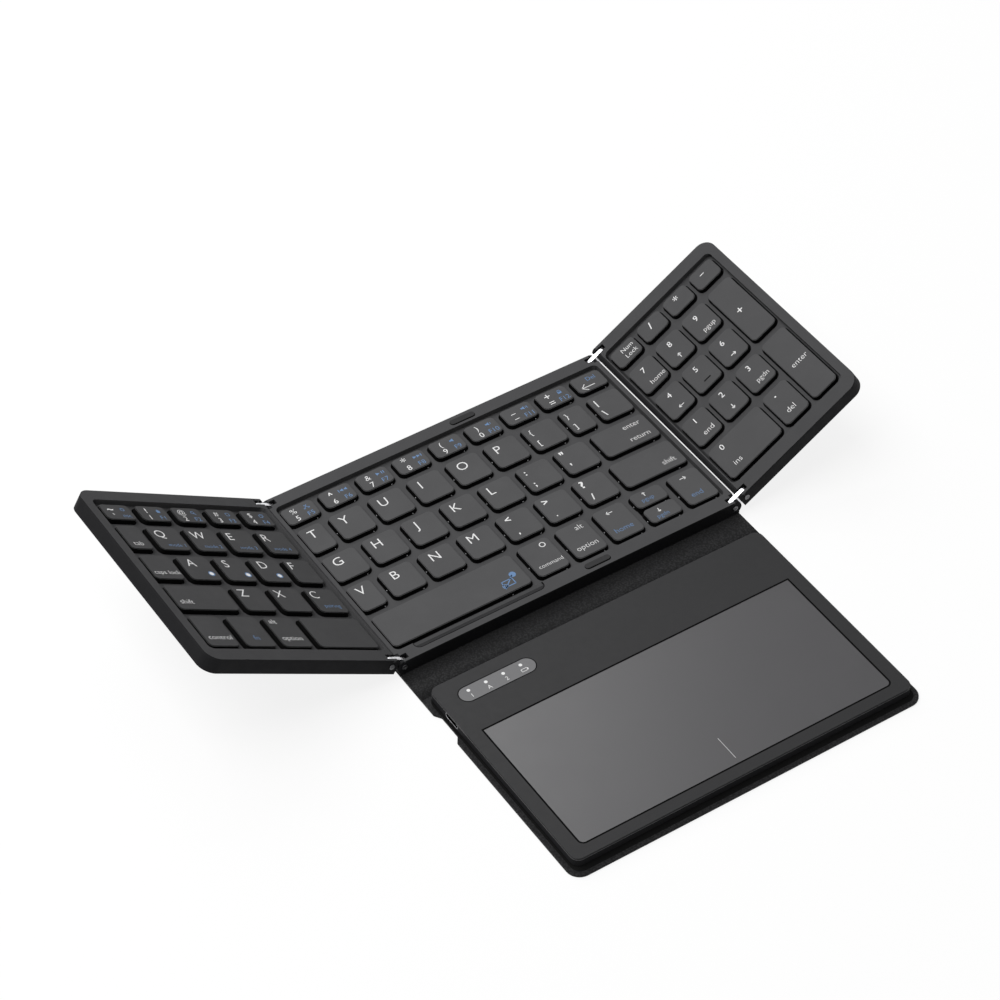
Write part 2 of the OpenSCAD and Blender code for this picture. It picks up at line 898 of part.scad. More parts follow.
module tray_bottom_shell() {
    color(case_color)
        difference() {
            union() {
                difference() {
                    translate([0, 0, tray_z])
                        linear_extrude(tray_seam_z - tray_z)
                            tray_outline(0, tray_r);
                    translate([0, 0, tray_floor_z])
                        linear_extrude(tray_t)
                            tray_outline(tray_wall_t, tray_r);
                }
                for (x = [-tray_stud_x, 0, tray_stud_x])
                    translate([x, board_y[0] + tray_stud_in, tray_floor_z])
                        cylinder(r = stud_r, h = board_z - tray_floor_z);
            }
            port_cut();
            switch_cut();
        }
}

// Opening for the charging port in the left wall
module port_cut() {
    translate([-tray_w / 2 - cut, port_y, port_z])
        rotate([0, 90, 0])
            linear_extrude(tray_wall_t + 2 * cut)
                port_2d(port_slip);
}

module port_2d(grow) {
    r = port_h / 2 + grow;
    half = port_w / 2 - port_h / 2;
    translate([-r, -half])
        square([2 * r, 2 * half]);
    for (y = [-half, half])
        translate([0, y])
            circle(r);
}

// Slot for the knob of the power switch in the right wall
module switch_cut() {
    translate([tray_w / 2 - tray_wall_t - cut, switch_y - (switch_knob_w + switch_travel) / 2
        - switch_slot_slip, switch_z() - switch_slot_slip])
        cube([tray_wall_t + 2 * cut, switch_knob_w + switch_travel + 2 * switch_slot_slip,
            switch_knob_h + 2 * switch_slot_slip]);
}

function switch_z() = tray_floor_z + 0.9;

module tray_top_shell() {
    color(frame_color)
        difference() {
            union() {
                translate([0, 0, tray_seam_z])
                    linear_extrude(tray_plate_t)
                        tray_outline(0, tray_r);
                tray_lip();
            }
            pad_block(pad_slip, tray_seam_z - cut, tray_top_z + cut);
            window_block(window_slip, tray_seam_z - cut, tray_top_z + cut);
        }
}

// Lip that locates the top shell inside the walls of the bottom shell
module tray_lip() {
    inset = tray_wall_t + tray_slip;
    translate([0, 0, tray_seam_z - tray_lip_h])
        linear_extrude(tray_lip_h)
            difference() {
                tray_outline(inset, tray_r);
                tray_outline(inset + tray_lip_t, tray_r);
                translate([-tray_w / 2, port_y - port_w / 2 - cut])
                    square([2 * cut + inset, port_w + 2 * cut]);
                translate([tray_w / 2 - 2 * cut - inset, switch_y - switch_body_d / 2 - cut])
                    square([2 * cut + inset, switch_body_d + 2 * cut]);
            }
}

// Block of the touchpad: sharp back corners and rounded front corners
module pad_block(grow, z0, z1) {
    half = pad_w / 2 + grow;
    translate([0, 0, z0])
        linear_extrude(z1 - z0) {
            translate([-half, pad_front_y + pad_front_r])
                square([2 * half, pad_d - pad_front_r + grow]);
            slab_2d(-half, half, pad_front_y - grow, pad_front_y + pad_d / 2, pad_front_r,
                pad_front_r);
        }
}

module touchpad_surface() {
    color(glass_color)
        pad_block(0, tray_seam_z, tray_top_z - pad_sink);
}

module touch_sensor_board() {
    color(board_color)
        translate([-pad_w / 2 - sensor_lip, pad_front_y - sensor_lip, tray_seam_z - sensor_t])
            cube([pad_w + 2 * sensor_lip, pad_d + 2 * sensor_lip, sensor_t]);
}

// Round-ended block of the indicator window
module window_block(grow, z0, z1) {
    slab(window_x[0] - grow, window_x[1] + grow, window_y[0] - grow, window_y[1] + grow, z0, z1,
        (window_y[1] - window_y[0]) / 2 + grow - touch, (window_y[1] - window_y[0]) / 2 + grow
        - touch);
}

module indicator_window() {
    color(glass_color)
        union() {
            window_block(0, tray_seam_z - touch, tray_top_z);
            window_block(window_flange, tray_seam_z - window_flange_t, tray_seam_z);
        }
}

module indicator_lights() {
    color([0.95, 0.95, 0.95])
        for (i = [0:3])
            translate([led_x + i * led_pitch, led_y, board_z + board_t])
                cylinder(r = led_r, h = led_h);
}

module main_board() {
    color(board_color)
        difference() {
            translate([board_x[0], board_y[0], board_z])
                cube([board_x[1] - board_x[0], board_y[1] - board_y[0], board_t]);
            translate([-tray_w / 2, port_y - port_w / 2 - touch, board_z - cut])
                cube([tray_wall_t + port_d, port_w + 2 * touch, board_t + 2 * cut]);
            translate([tray_w / 2 - tray_wall_t - switch_body_w - switch_slot_slip,
                switch_y - switch_body_d / 2 - touch, board_z - cut])
                cube([switch_body_w + tray_wall_t, switch_body_d + 2 * touch, board_t + 2 * cut]);
        }
}

// Charging port: a round-ended metal tube with a tongue
module charging_port() {
    color(metal_color)
        translate([-tray_w / 2 + port_slip, port_y, port_z])
            rotate([0, 90, 0])
                union() {
                    linear_extrude(port_d)
                        difference() {
                            port_2d(0);
                            port_2d(-port_wall);
                        }
                    translate([0, 0, port_d - port_wall])
                        linear_extrude(port_wall)
                            port_2d(-port_wall / 2);
                    translate([-port_tongue_t / 2, -port_tongue_w / 2, 1])
                        cube([port_tongue_t, port_tongue_w, port_d - 1]);
                }
}

// Housing of the power switch, against the inside of the right wall
module power_switch_housing() {
    color(case_color)
        translate([tray_w / 2 - tray_wall_t - switch_body_w, switch_y - switch_body_d / 2,
            tray_floor_z])
            difference() {
                cube([switch_body_w, switch_body_d, board_z - tray_floor_z + board_t]);
                translate([switch_body_w / 2, switch_body_d / 2 - (switch_knob_w
                    + switch_travel) / 2 - switch_slot_slip, switch_z() - tray_floor_z
                    - switch_slot_slip])
                    cube([switch_body_w, switch_knob_w + switch_travel + 2 * switch_slot_slip,
                        switch_knob_h + 2 * switch_slot_slip]);
            }
}

module power_switch_knob() {
    color(metal_color)
        translate([tray_w / 2 - tray_wall_t - switch_body_w / 2 + switch_slot_slip,
            switch_y - (switch_knob_w + switch_travel) / 2, switch_z()])
            cube([switch_body_w / 2 + tray_wall_t - switch_slot_slip + switch_knob_out,
                switch_knob_w, switch_knob_h]);
}

module battery() {
    color([0.62, 0.63, 0.66])
        slab(battery_x[0], battery_x[1], battery_y[0], battery_y[1], tray_floor_z,
            tray_floor_z + battery_h, battery_r, battery_r);
}

cover_base_board();
cover_spine_board();
cover_flap_board();
centre_bottom_case();
centre_top_frame();
centre_key_support();
rubber_rim_pads();
hinge_barrel_strips();
centre_hinge_pins();
left_hinge_links();
right_hinge_links();
left_bottom_case();
left_top_frame();
left_key_support();
left_hinge_pins();
right_bottom_case();
right_top_frame();
right_key_support();
right_hinge_pins();
tray_bottom_shell();
tray_top_shell();
touchpad_surface();
touch_sensor_board();
indicator_window();
indicator_lights();
main_board();
charging_port();
power_switch_housing();
power_switch_knob();
battery();
for (name = centre_key_nodes) centre_keys(name);
for (name = left_key_nodes) left_keys(name);
for (name = right_key_nodes) right_keys(name);
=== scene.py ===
import json
import math

import bmesh
import bpy
from mathutils import Matrix, Quaternion, Vector

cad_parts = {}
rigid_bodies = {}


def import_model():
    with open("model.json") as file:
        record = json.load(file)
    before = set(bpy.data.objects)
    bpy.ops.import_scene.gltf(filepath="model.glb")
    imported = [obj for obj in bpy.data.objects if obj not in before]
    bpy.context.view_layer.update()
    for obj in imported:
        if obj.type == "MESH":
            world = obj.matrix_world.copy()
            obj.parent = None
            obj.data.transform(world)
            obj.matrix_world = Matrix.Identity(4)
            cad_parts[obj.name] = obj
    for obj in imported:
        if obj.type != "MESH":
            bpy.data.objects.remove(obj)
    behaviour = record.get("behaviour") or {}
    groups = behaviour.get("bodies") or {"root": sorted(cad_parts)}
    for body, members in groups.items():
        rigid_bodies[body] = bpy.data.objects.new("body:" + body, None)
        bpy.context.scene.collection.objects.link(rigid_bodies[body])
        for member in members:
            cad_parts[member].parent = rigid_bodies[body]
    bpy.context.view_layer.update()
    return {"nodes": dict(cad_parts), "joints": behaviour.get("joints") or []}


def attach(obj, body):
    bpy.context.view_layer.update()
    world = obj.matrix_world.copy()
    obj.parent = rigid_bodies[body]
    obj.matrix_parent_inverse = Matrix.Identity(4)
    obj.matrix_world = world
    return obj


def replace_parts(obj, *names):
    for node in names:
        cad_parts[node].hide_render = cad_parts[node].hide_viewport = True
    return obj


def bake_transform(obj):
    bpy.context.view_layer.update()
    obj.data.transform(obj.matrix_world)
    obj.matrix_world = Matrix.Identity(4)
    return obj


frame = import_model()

MM = 0.001

# Sizes in millimetres, as in the CAD source ----------------------------------------------
PIN_X = 80.3             # pins of the centre panel, left and right of the middle
FRONT_Y = -54.6          # front edge of the three panels
PIN_Z = 5.0
LINK = 6.8               # from pin to pin
TILT = math.radians(31.4)
KEY_TOP = 2.6            # heights above the pins
RIM_TOP = 3.2
WELL_FLOOR = 0.6
WELL_BACK = 48.4         # back wall of the key wells
LEATHER_T = 1.4
COVER_HALF = 82.5
BASE_BACK = 55.4
SPINE_D, FLAP_D = 16.1, 107.7          # from crease to crease, and from there to the edge
CREASE_GAP = 0.2         # from the axis of a crease to the board
SPINE_AXIS = FRONT_Y - CREASE_GAP
FLAP_AXIS = SPINE_AXIS - SPINE_D
SPINE_BACK, SPINE_FRONT = SPINE_AXIS - CREASE_GAP, FLAP_AXIS + CREASE_GAP
FLAP_BACK, FLAP_FRONT = FLAP_AXIS - CREASE_GAP, FLAP_AXIS - FLAP_D
TRAY_TOP = 6.4

CENTRE, FLAP = "centre_panel", "touchpad_flap"
PANEL = {0: CENTRE, -1: "left_wing", 1: "right_wing"}        # body of each side
SIDE_NAME = {0: "centre", -1: "left", 1: "right"}


def panel_frame(side):
    """Matrix of a panel at rest: x to the right from its pin, y from the front, z from the pin."""
    if side == 0:
        return Matrix.Translation(Vector((-PIN_X, FRONT_Y, PIN_Z)))
    right = Vector((math.cos(TILT), 0, side * math.sin(TILT)))
    up = Vector((-side * math.sin(TILT), 0, math.cos(TILT)))
    m = Matrix((right, Vector((0, 1, 0)), up)).transposed().to_4x4()
    m.translation = Vector((side * (PIN_X + LINK * math.cos(TILT)), FRONT_Y,
                            PIN_Z + LINK * math.sin(TILT)))
    return m


# Node trees; lengths in materials are in metres --------------------------------------------
def shade(colour, k):
    return tuple(v * k for v in colour)


class Tree:
    """Short names for building a material's nodes."""

    def __init__(self, name):
        self.mat = bpy.data.materials.new(name)
        self.mat.use_nodes = True
        self.nodes = self.mat.node_tree.nodes
        self.shader = self.nodes["Principled BSDF"]
        self.coord = self.nodes.new("ShaderNodeTexCoord").outputs

    def node(self, kind, **values):
        n = self.nodes.new(kind)
        for key, value in values.items():
            setattr(n, key, value)
        return n

    def feed(self, socket, value):
        """Links an output to the socket, or sets the socket to a number, vector or colour."""
        if isinstance(value, bpy.types.NodeSocket):
            self.mat.node_tree.links.new(value, socket)
        else:
            socket.default_value = (*value, 1) if socket.type == "RGBA" else value

    def noise(self, scale, detail=2.0, vector=None):
        n = self.node("ShaderNodeTexNoise")
        n.inputs["Scale"].default_value = scale
        n.inputs["Detail"].default_value = detail
        self.feed(n.inputs["Vector"], vector or self.coord["Object"])
        return n.outputs["Fac"]

    def drawn_lines(self):
        """Fine lines along x, as drawn metal has."""
        m = self.node("ShaderNodeMapping")
        m.inputs["Scale"].default_value = (60, 4000, 4000)
        self.feed(m.inputs["Vector"], self.coord["Object"])
        return self.noise(1.0, 3, m.outputs["Vector"])

    def ramp(self, value, low, high, a=0.0, b=1.0):
        r = self.node("ShaderNodeMapRange")
        for name, v in (("Value", value), ("From Min", low), ("From Max", high), ("To Min", a),
                        ("To Max", b)):
            self.feed(r.inputs[name], v)
        return r.outputs["Result"]

    def math(self, op, a, b=0.0):
        m = self.node("ShaderNodeMath", operation=op)
        self.feed(m.inputs[0], a)
        self.feed(m.inputs[1], b)
        return m.outputs["Value"]

    def dot(self, a, b):
        d = self.node("ShaderNodeVectorMath", operation="DOT_PRODUCT")
        self.feed(d.inputs[0], a)
        self.feed(d.inputs[1], b)
        return d.outputs["Value"]

    def axis(self, kind, letter):
        """One coordinate of the position (Object) or of the normal (Normal)."""
        xyz = self.node("ShaderNodeSeparateXYZ")
        self.feed(xyz.inputs["Vector"], self.coord[kind])
        return xyz.outputs[letter]

    def mix(self, share, a, b):
        m = self.node("ShaderNodeMix", data_type="RGBA")
        for socket, value in ((m.inputs["Factor"], share), (m.inputs[6], a), (m.inputs[7], b)):
            self.feed(socket, value)
        return m.outputs[2]

    def drift(self, scale, colour, low, high):
        """The colour, slowly varied between low and high times itself."""
        return self.mix(self.ramp(self.noise(scale, 3), 0.3, 0.7), shade(colour, low),
                        shade(colour, high))

    def uneven(self, scale, low, high):
        """A value slowly varied between low and high."""
        return self.ramp(self.noise(scale, 3), 0.3, 0.7, low, high)

    def edges(self, radius):
        """0 on flat faces and up to 1 on edges, and the rounded normal."""
        bevel = self.node("ShaderNodeBevel", samples=4)
        bevel.inputs["Radius"].default_value = radius
        rounded = bevel.outputs["Normal"]
        flat = self.dot(rounded, self.node("ShaderNodeNewGeometry").outputs["Normal"])
        return self.ramp(flat, 0.995, 0.80), rounded

    def bump(self, height, distance, strength, normal=None):
        b = self.node("ShaderNodeBump")
        b.inputs["Distance"].default_value = distance
        b.inputs["Strength"].default_value = strength
        self.feed(b.inputs["Height"], height)
        if normal is not None:
            self.feed(b.inputs["Normal"], normal)
        return b.outputs["Normal"]

    def finish(self, **values):
        """Sets the shader's inputs, and gives the material."""
        for key, value in values.items():
            self.feed(self.shader.inputs[key.replace("_", " ")], value)
        return self.mat


def moulded(name, colour, rough, grain=5200, depth=0.000012, wear_and_highlight=1.35, spec=0.5):
    """Moulded plastic: spark-eroded grain, slow colour drift, edges a little lighter: handling
    wear, and on the tray a painted highlight.
    """
    t = Tree(name)
    mask, rounded = t.edges(0.00025)
    fine = t.noise(grain)
    base = t.drift(55, colour, 0.93, 1.07)
    speck = t.mix(t.ramp(fine, 0.35, 0.65), base, shade(colour, 1.12))
    worn_and_lit_edges = t.math("MULTIPLY", mask, t.ramp(t.noise(900), 0.35, 0.7))
    return t.finish(Base_Color=t.mix(worn_and_lit_edges, t.mix(0.35, base, speck), shade(colour, wear_and_highlight)),
                    Roughness=t.uneven(320, rough - 0.05, rough + 0.06),
                    Specular_IOR_Level=spec, Normal=t.bump(fine, depth, 0.6, rounded))


def hinge_light_and_shade(t, top, side):
    """Painted light and shade by a hinge: the low walls beside it take the lit face colour, and the
    right wing's shoulder and the floor beside it painted shade.
    """
    place = panel_frame(side)
    pin = place.translation * MM

    def along(column):
        direction = place.col[column].to_3d()
        return t.math("SUBTRACT", t.dot(t.coord["Object"], direction), pin.dot(direction))

    x = along(0)
    if side == 0:
        half = PIN_X * MM
        x = t.math("SUBTRACT", t.math("ABSOLUTE", t.math("SUBTRACT", x, half)), half)
    top = t.math("MAXIMUM", top, t.ramp(t.math("ABSOLUTE", x), 0.00045, 0.0006, 1.0, 0.0))
    if side == 1:
        top = t.math("MULTIPLY", top, t.ramp(x, -0.00075, -0.0006))
        # Painted shade on the right wing's shoulder and on the floor beside it.
        shoulder_shade = t.math("MULTIPLY", t.ramp(along(2), 0.001, 0.0015, 1.0, 0.0),
                      t.ramp(x, 0.0006, 0.0012, 0.85, 0.0))
        top = t.math("MULTIPLY", top, t.math("SUBTRACT", 1.0, shoulder_shade))
    return top


def lit_back_wall(t, side_shade):
    """Painted shade on the walls, but painted light on the wall at the back of a key well, which
    faces the front.
    """
    away = t.math("SUBTRACT", t.axis("Object", "Y"), WELL_BACK * MM)
    near = t.math("MULTIPLY", t.ramp(away, -0.0014, -0.0010),
                  t.ramp(away, 0.0002, 0.0004, 1.0, 0.0))
    mask = t.math("MULTIPLY", near, t.ramp(t.axis("Normal", "Y"), -0.4, -0.8))
    return t.mix(mask, side_shade, BACK_WALL_LIGHT)


def lit_and_shaded(name, colour, side_shade, up, low=0.7, high=0.95, rim_of=None):
    """Satin upper faces with fine grain; the walls below them in a darker copy of the colour,
    painted shade.
    """
    t = Tree(name)
    mask, rounded = t.edges(0.0002)
    top = t.ramp(t.dot(t.coord["Normal"], up), low, high)
    if rim_of is not None:
        top = hinge_light_and_shade(t, top, rim_of)
        side_shade = lit_back_wall(t, side_shade)
    fine = t.noise(6500)
    face = t.drift(70, colour, 0.95, 1.05)
    face = t.mix(t.math("MULTIPLY", t.ramp(fine, 0.4, 0.65), 0.3), face, shade(colour, 1.18))
    # Edges a little lighter: a painted highlight on their rounding.
    face = t.mix(t.math("MULTIPLY", mask, 0.5), face, shade(colour, 1.3))
    return t.finish(Base_Color=t.mix(top, side_shade, face), Roughness=t.uneven(240, 0.61, 0.73),
                    Specular_IOR_Level=0.03, Normal=t.bump(fine, 0.000008, 0.6, rounded))


def metal(name, colour, rough):
    """Satin metal with fine drawn lines."""
    t = Tree(name)
    lines = t.drawn_lines()
    tint = t.mix(t.ramp(lines, 0.3, 0.7), shade(colour, 0.86), colour)
    return t.finish(Base_Color=tint, Metallic=1.0,
                    Roughness=t.ramp(lines, 0.3, 0.7, rough - 0.06, rough + 0.08),
                    Normal=t.bump(lines, 0.000004, 0.5, t.edges(0.0002)[1]))


def port_shell(name, colour, mouth):
    """Drawn steel at the mouth of the port, and painted black inside it: painted shade in the port.
    """
    t = Tree(name)
    lines = t.drawn_lines()
    shaded_inside = t.ramp(t.axis("Object", "X"), mouth + 0.0001, mouth + 0.0004)
    shell = t.mix(t.ramp(lines, 0.3, 0.7), shade(colour, 0.86), colour)
    return t.finish(Base_Color=t.mix(shaded_inside, shell, (0.01, 0.01, 0.01)), Metallic=1.0,
                    Roughness=t.ramp(lines, 0.3, 0.7, 0.26, 0.4), Normal=t.edges(0.0001)[1])


def leather(name, colour):
    """Pebbled synthetic leather: small round grains, darker valleys, soft wrinkles."""
    t = Tree(name)
    warp = t.node("ShaderNodeTexNoise")
    warp.inputs["Scale"].default_value = 420
    t.feed(warp.inputs["Vector"], t.coord["Object"])
    off = t.node("ShaderNodeVectorMath", operation="MULTIPLY_ADD")
    for socket, value in zip(off.inputs, (warp.outputs["Color"], (0.0009, 0.0009, 0.0009),
                                          t.coord["Object"])):
        t.feed(socket, value)
    cell = t.node("ShaderNodeTexVoronoi", feature="SMOOTH_F1")
    cell.inputs["Scale"].default_value = 1250
    cell.inputs["Smoothness"].default_value = 0.4
    t.feed(cell.inputs["Vector"], off.outputs["Vector"])
    grain = t.ramp(cell.outputs["Distance"], 0.05, 0.75, 1.0, 0.0)
    height = t.math("ADD", grain, t.math("MULTIPLY", t.noise(150, 4), 1.2))
    tint = t.mix(t.ramp(grain, 0.15, 0.75), shade(colour, 0.4), t.drift(38, colour, 0.88, 1.12))
    return t.finish(Base_Color=tint, Roughness=t.ramp(grain, 0.2, 0.9, 0.72, 0.55),
                    Specular_IOR_Level=0.12, Normal=t.bump(height, 0.0001, 0.65),
                    Sheen_Weight=0.03, Sheen_Roughness=0.5)


def smooth(name, colour, rough, coat=0.0):
    """Hard coated surface: faint cloudiness in colour and gloss."""
    t = Tree(name)
    return t.finish(Base_Color=t.drift(30, colour, 0.98, 1.02),
                    Roughness=t.uneven(90, rough - 0.02, rough + 0.03),
                    Normal=t.bump(t.noise(7000), 0.000002, 0.4, t.edges(0.00015)[1]),
                    Coat_Weight=coat, Coat_Roughness=0.25)


def ink(name, colour, rough=0.5, spec=0.3):
    """Printed marks, slightly uneven."""
    t = Tree(name)
    fine = t.noise(3500)
    return t.finish(Base_Color=t.mix(t.ramp(fine, 0.3, 0.7), shade(colour, 0.9), colour),
                    Roughness=t.ramp(fine, 0.3, 0.7, rough - 0.05, rough + 0.1),
                    Specular_IOR_Level=spec)


# Materials of the pieces -------------------------------------------------------------------
# The back-wall colour is painted light on the back walls of the key wells.
# The wall colours on these two lines are darker copies of the faces' colours, painted shade.
RIM, RIM_SIDE_SHADE, BACK_WALL_LIGHT = (0.066, 0.066, 0.068), (0.018, 0.018, 0.019), (0.10, 0.10, 0.102)
KEY, KEY_SIDE_SHADE = (0.082, 0.082, 0.084), (0.004, 0.004, 0.004)
KEY_PANEL_LIGHT = {0: 1.05, -1: 0.78, 1: 0.96}      # painted light and shade of each panel, for how the light falls on it
RIM_PANEL_LIGHT = {0: 1.05, -1: 0.88, 1: 0.98}

PORT_MOUTH = min(v.co.x for v in frame["nodes"]["charging_port"].data.vertices)
MATS = {
    "leather": leather("pebbled_leather", (0.020, 0.020, 0.021)),
    "case": moulded("black_case_plastic", (0.013, 0.013, 0.014), 0.6, spec=0.05),
    # The tray's much lighter edges are a painted highlight.
    "tray": moulded("tray_plastic", (0.014, 0.014, 0.015), 0.44, wear_and_highlight=3.2, spec=0.2),
    "link": metal("satin_link_steel", (0.86, 0.86, 0.88), 0.28),
    "pin": metal("turned_pin_steel", (0.16, 0.16, 0.165), 0.36),
    "strip": moulded("polished_black_barrel", (0.010, 0.010, 0.011), 0.34, spec=0.15),
    "plate": moulded("black_key_membrane", (0.010, 0.010, 0.011), 0.72, 3000, 0.00002, spec=0.03),
    "rib": moulded("natural_plastic_rib", (0.32, 0.32, 0.33), 0.5),
    "rubber": moulded("soft_rubber", (0.039, 0.039, 0.040), 0.72, 3000, 0.00002, wear_and_highlight=0.4,
                      spec=0.04),
    "bead": moulded("black_shadow_bead", (0.006, 0.006, 0.006), 0.7, 3000, 0.00001, spec=0.03),
    # The parting lip stands 0.05 mm proud; its light colour is a painted highlight.
    "lip": moulded("parting_lip_painted_highlight", (0.085, 0.085, 0.087), 0.35, wear_and_highlight=1.6, spec=0.4),
    "bar": moulded("homing_bar_plastic", (0.012, 0.012, 0.012), 0.6, spec=0.05),
    "pad": smooth("touchpad_glass_coating", (0.016, 0.015, 0.018), 0.30, 0.45),
    "window": smooth("smoked_window", (0.11, 0.11, 0.114), 0.45),
    "lamp": smooth("lamp_resin", (0.8, 0.82, 0.8), 0.3),
    "board": moulded("board_solder_mask", (0.02, 0.12, 0.06), 0.35),
    "cell": metal("battery_pouch", (0.5, 0.51, 0.53), 0.45),
    "port": port_shell("port_shell_steel", (0.62, 0.62, 0.64), PORT_MOUTH),
}
# Each panel gets its own lit and shaded copies of the key and rim colours: painted light and shade.
for side, side_name in SIDE_NAME.items():
    up = (-side * math.sin(TILT), 0, math.cos(side * TILT))
    MATS["key%d" % side] = lit_and_shaded("keycap_plastic_" + side_name,
                                    shade(KEY, KEY_PANEL_LIGHT[side]), KEY_SIDE_SHADE, up)
    MATS["rim%d" % side] = lit_and_shaded("rim_plastic_" + side_name, shade(RIM, RIM_PANEL_LIGHT[side]),
                                    RIM_SIDE_SHADE, up, 0.955, 0.998, side)
WHITE, BLUE = ink("white_print", (0.80, 0.80, 0.80)), ink("blue_print", (0.12, 0.22, 0.40))
GREY = ink("pale_grey_print", (0.42, 0.42, 0.43))
# Black for the painted shadows round keys, pads, the scoop and the tray's seams.
SHADOW_BLACK = ink("painted_shadow_black", (0.006, 0.006, 0.006), 0.8, 0.0)

LOOK = {
    "rim0": ["centre_top_frame"], "rim-1": ["left_top_frame"], "rim1": ["right_top_frame"],
    "case": ["centre_bottom_case", "left_bottom_case", "right_bottom_case",
             "tray_bottom_shell", "power_switch_housing", "power_switch_knob"],
    "tray": ["tray_top_shell"],
    "link": ["left_hinge_links", "right_hinge_links"],
    "strip": ["hinge_barrel_strips"],
    "port": ["charging_port"],
    "pin": ["centre_hinge_pins", "left_hinge_pins", "right_hinge_pins"],
    "plate": ["centre_key_support", "left_key_support", "right_key_support"],
    "rubber": ["rubber_rim_pads"],
    "pad": ["touchpad_surface"],
    "window": ["indicator_window"],
    "lamp": ["indicator_lights"],
    "board": ["main_board", "touch_sensor_board"],
    "cell": ["battery"],
}
# Side of each node of keys
KEYS = {j["child"]: next(s for s in PANEL if PANEL[s] == j["parent"])
        for j in frame["joints"] if j["name"].endswith("_press")}
for node, side in KEYS.items():
    LOOK.setdefault("key%d" % side, []).append(node)
for look, nodes in LOOK.items():
    for node in nodes:
        obj = frame["nodes"][node]
        if not obj.material_slots:
            obj.data.materials.append(MATS[look])
        for slot in obj.material_slots:
            slot.material = MATS[look]


# Meshes; all coordinates in millimetres ----------------------------------------------------
def new_object(name, verts, faces, mat):
    mesh = bpy.data.meshes.new(name)
    mesh.from_pydata([(x * MM, y * MM, z * MM) for x, y, z in verts], [], faces)
    mesh.materials.append(mat)
    mesh.validate()
    obj = bpy.data.objects.new(name, mesh)
    bpy.context.scene.collection.objects.link(obj)
    return obj


def flat_object(name, shapes, z, mat, place=Matrix()):
    """One object of flat shapes, each (points, faces), at height z in the frame of a panel."""
    verts, faces = [], []
    for points, shape_faces in shapes:
        faces += [tuple(len(verts) + i for i in f) for f in shape_faces]
        verts += [place @ Vector((p[0], p[1], z)) for p in points]
    return new_object(name, verts, faces, mat)


def box_object(name, boxes, mat, place=Matrix()):
    """One object of boxes, each eight points: four below, counter-clockwise, and four above."""
    sides = ((3, 2, 1, 0), (4, 5, 6, 7), (0, 1, 5, 4), (1, 2, 6, 5), (2, 3, 7, 6), (3, 0, 4, 7))
    verts = [place @ Vector(p) for box in boxes for p in box]
    faces = [tuple(8 * b + i for i in f) for b in range(len(boxes)) for f in sides]
    return new_object(name, verts, faces, mat)


def box_points(x0, x1, y0, y1, z0, z1):
    return [(x, y, z) for z in (z0, z1) for x, y in ((x0, y0), (x1, y0), (x1, y1), (x0, y1))]


def ring_faces(rings, n, closed=False):
    """Faces between rings of n points: closed into a loop, or open with a cap at each end."""
    faces = []
    for r in range(rings if closed else rings - 1):
        q = (r + 1) % rings
        faces += [(r * n + i, r * n + (i + 1) % n, q * n + (i + 1) % n, q * n + i)
                  for i in range(n)]
    if not closed:
        faces += [tuple(range(n - 1, -1, -1)), tuple((rings - 1) * n + i for i in range(n))]
    return faces


def rounded_outline(corners, steps=8):
    """Polygon from (x, y, radius) corners, counter-clockwise."""
    out = []
    for i, (x, y, r) in enumerate(corners):
        p = Vector((x, y))
        if r == 0:
            out.append(p)
            continue
        a = (Vector(corners[i - 1][:2]) - p).normalized()
        b = (Vector(corners[(i + 1) % len(corners)][:2]) - p).normalized()
        half = a.angle(b) / 2
        reach = r / math.tan(half)
        centre = p + (a + b).normalized() * (r / math.sin(half))
        start, end = p + a * reach - centre, p + b * reach - centre
        turn = start.angle_signed(end)
        for k in range(steps + 1):
            c, s = math.cos(-turn * k / steps), math.sin(-turn * k / steps)
            out.append(centre + Vector((start.x * c - start.y * s, start.x * s + start.y * c)))
    return out


def rounded_box(x0, x1, y0, y1, front_r, back_r=None, steps=8):
    """Outline of a rectangle with rounded corners."""
    back_r = front_r if back_r is None else back_r
    return rounded_outline([(x0, y0, front_r), (x1, y0, front_r), (x1, y1, back_r),
                            (x0, y1, back_r)], steps)


def band(inner, outer):
    """Flat closed band between two outlines with the same number of points."""
    n = len(inner)
    return ([tuple(p) for p in inner] + [tuple(p) for p in outer],
            [(k, n + k, n + (k + 1) % n, (k + 1) % n) for k in range(n)])


def inset(outline, e, hold):
    """The outline moved inwards by e, except along the lines y = hold."""
    out = []
    for i, p in enumerate(outline):
        a = (p - outline[i - 1]).normalized()
        b = (outline[(i + 1) % len(outline)] - p).normalized()
        na, nb = Vector((-a.y, a.x)), Vector((-b.y, b.x))
        q = p + (na + nb) * (e / (1 + na.dot(nb)))
        if any(abs(p.y - h) < 1e-4 for h in hold):
            q = Vector((q.x, p.y))
        out.append(q)
    return out


# Leather cover -----------------------------------------------------------------------------
EDGE, EDGE_STEPS, EDGE_MID = 0.4, 4, 0.12      # turned edges, and their middle at a crease
BASE_R, FLAP_R = 3, 6
PORT_Y = FLAP_BACK - 16.8              # middle of the charging port
NOTCH_MOUTH, NOTCH_FLOOR, NOTCH_DEPTH = 8.7, 5.7, 2          # notch beside the port
NOTCH_MOUTH_R, NOTCH_FLOOR_R = 0.8, 1.5
SLIT_X, SLIT_FRONT_Y, SLIT_BACK_Y = COVER_HALF - 12, FLAP_FRONT + 3.5, FLAP_AXIS - 4.5
SLIT_HALF, SLIT_HALF_W, SLIT_DEPTH = 6, 0.25, 0.3
CREASE_STEPS = 16


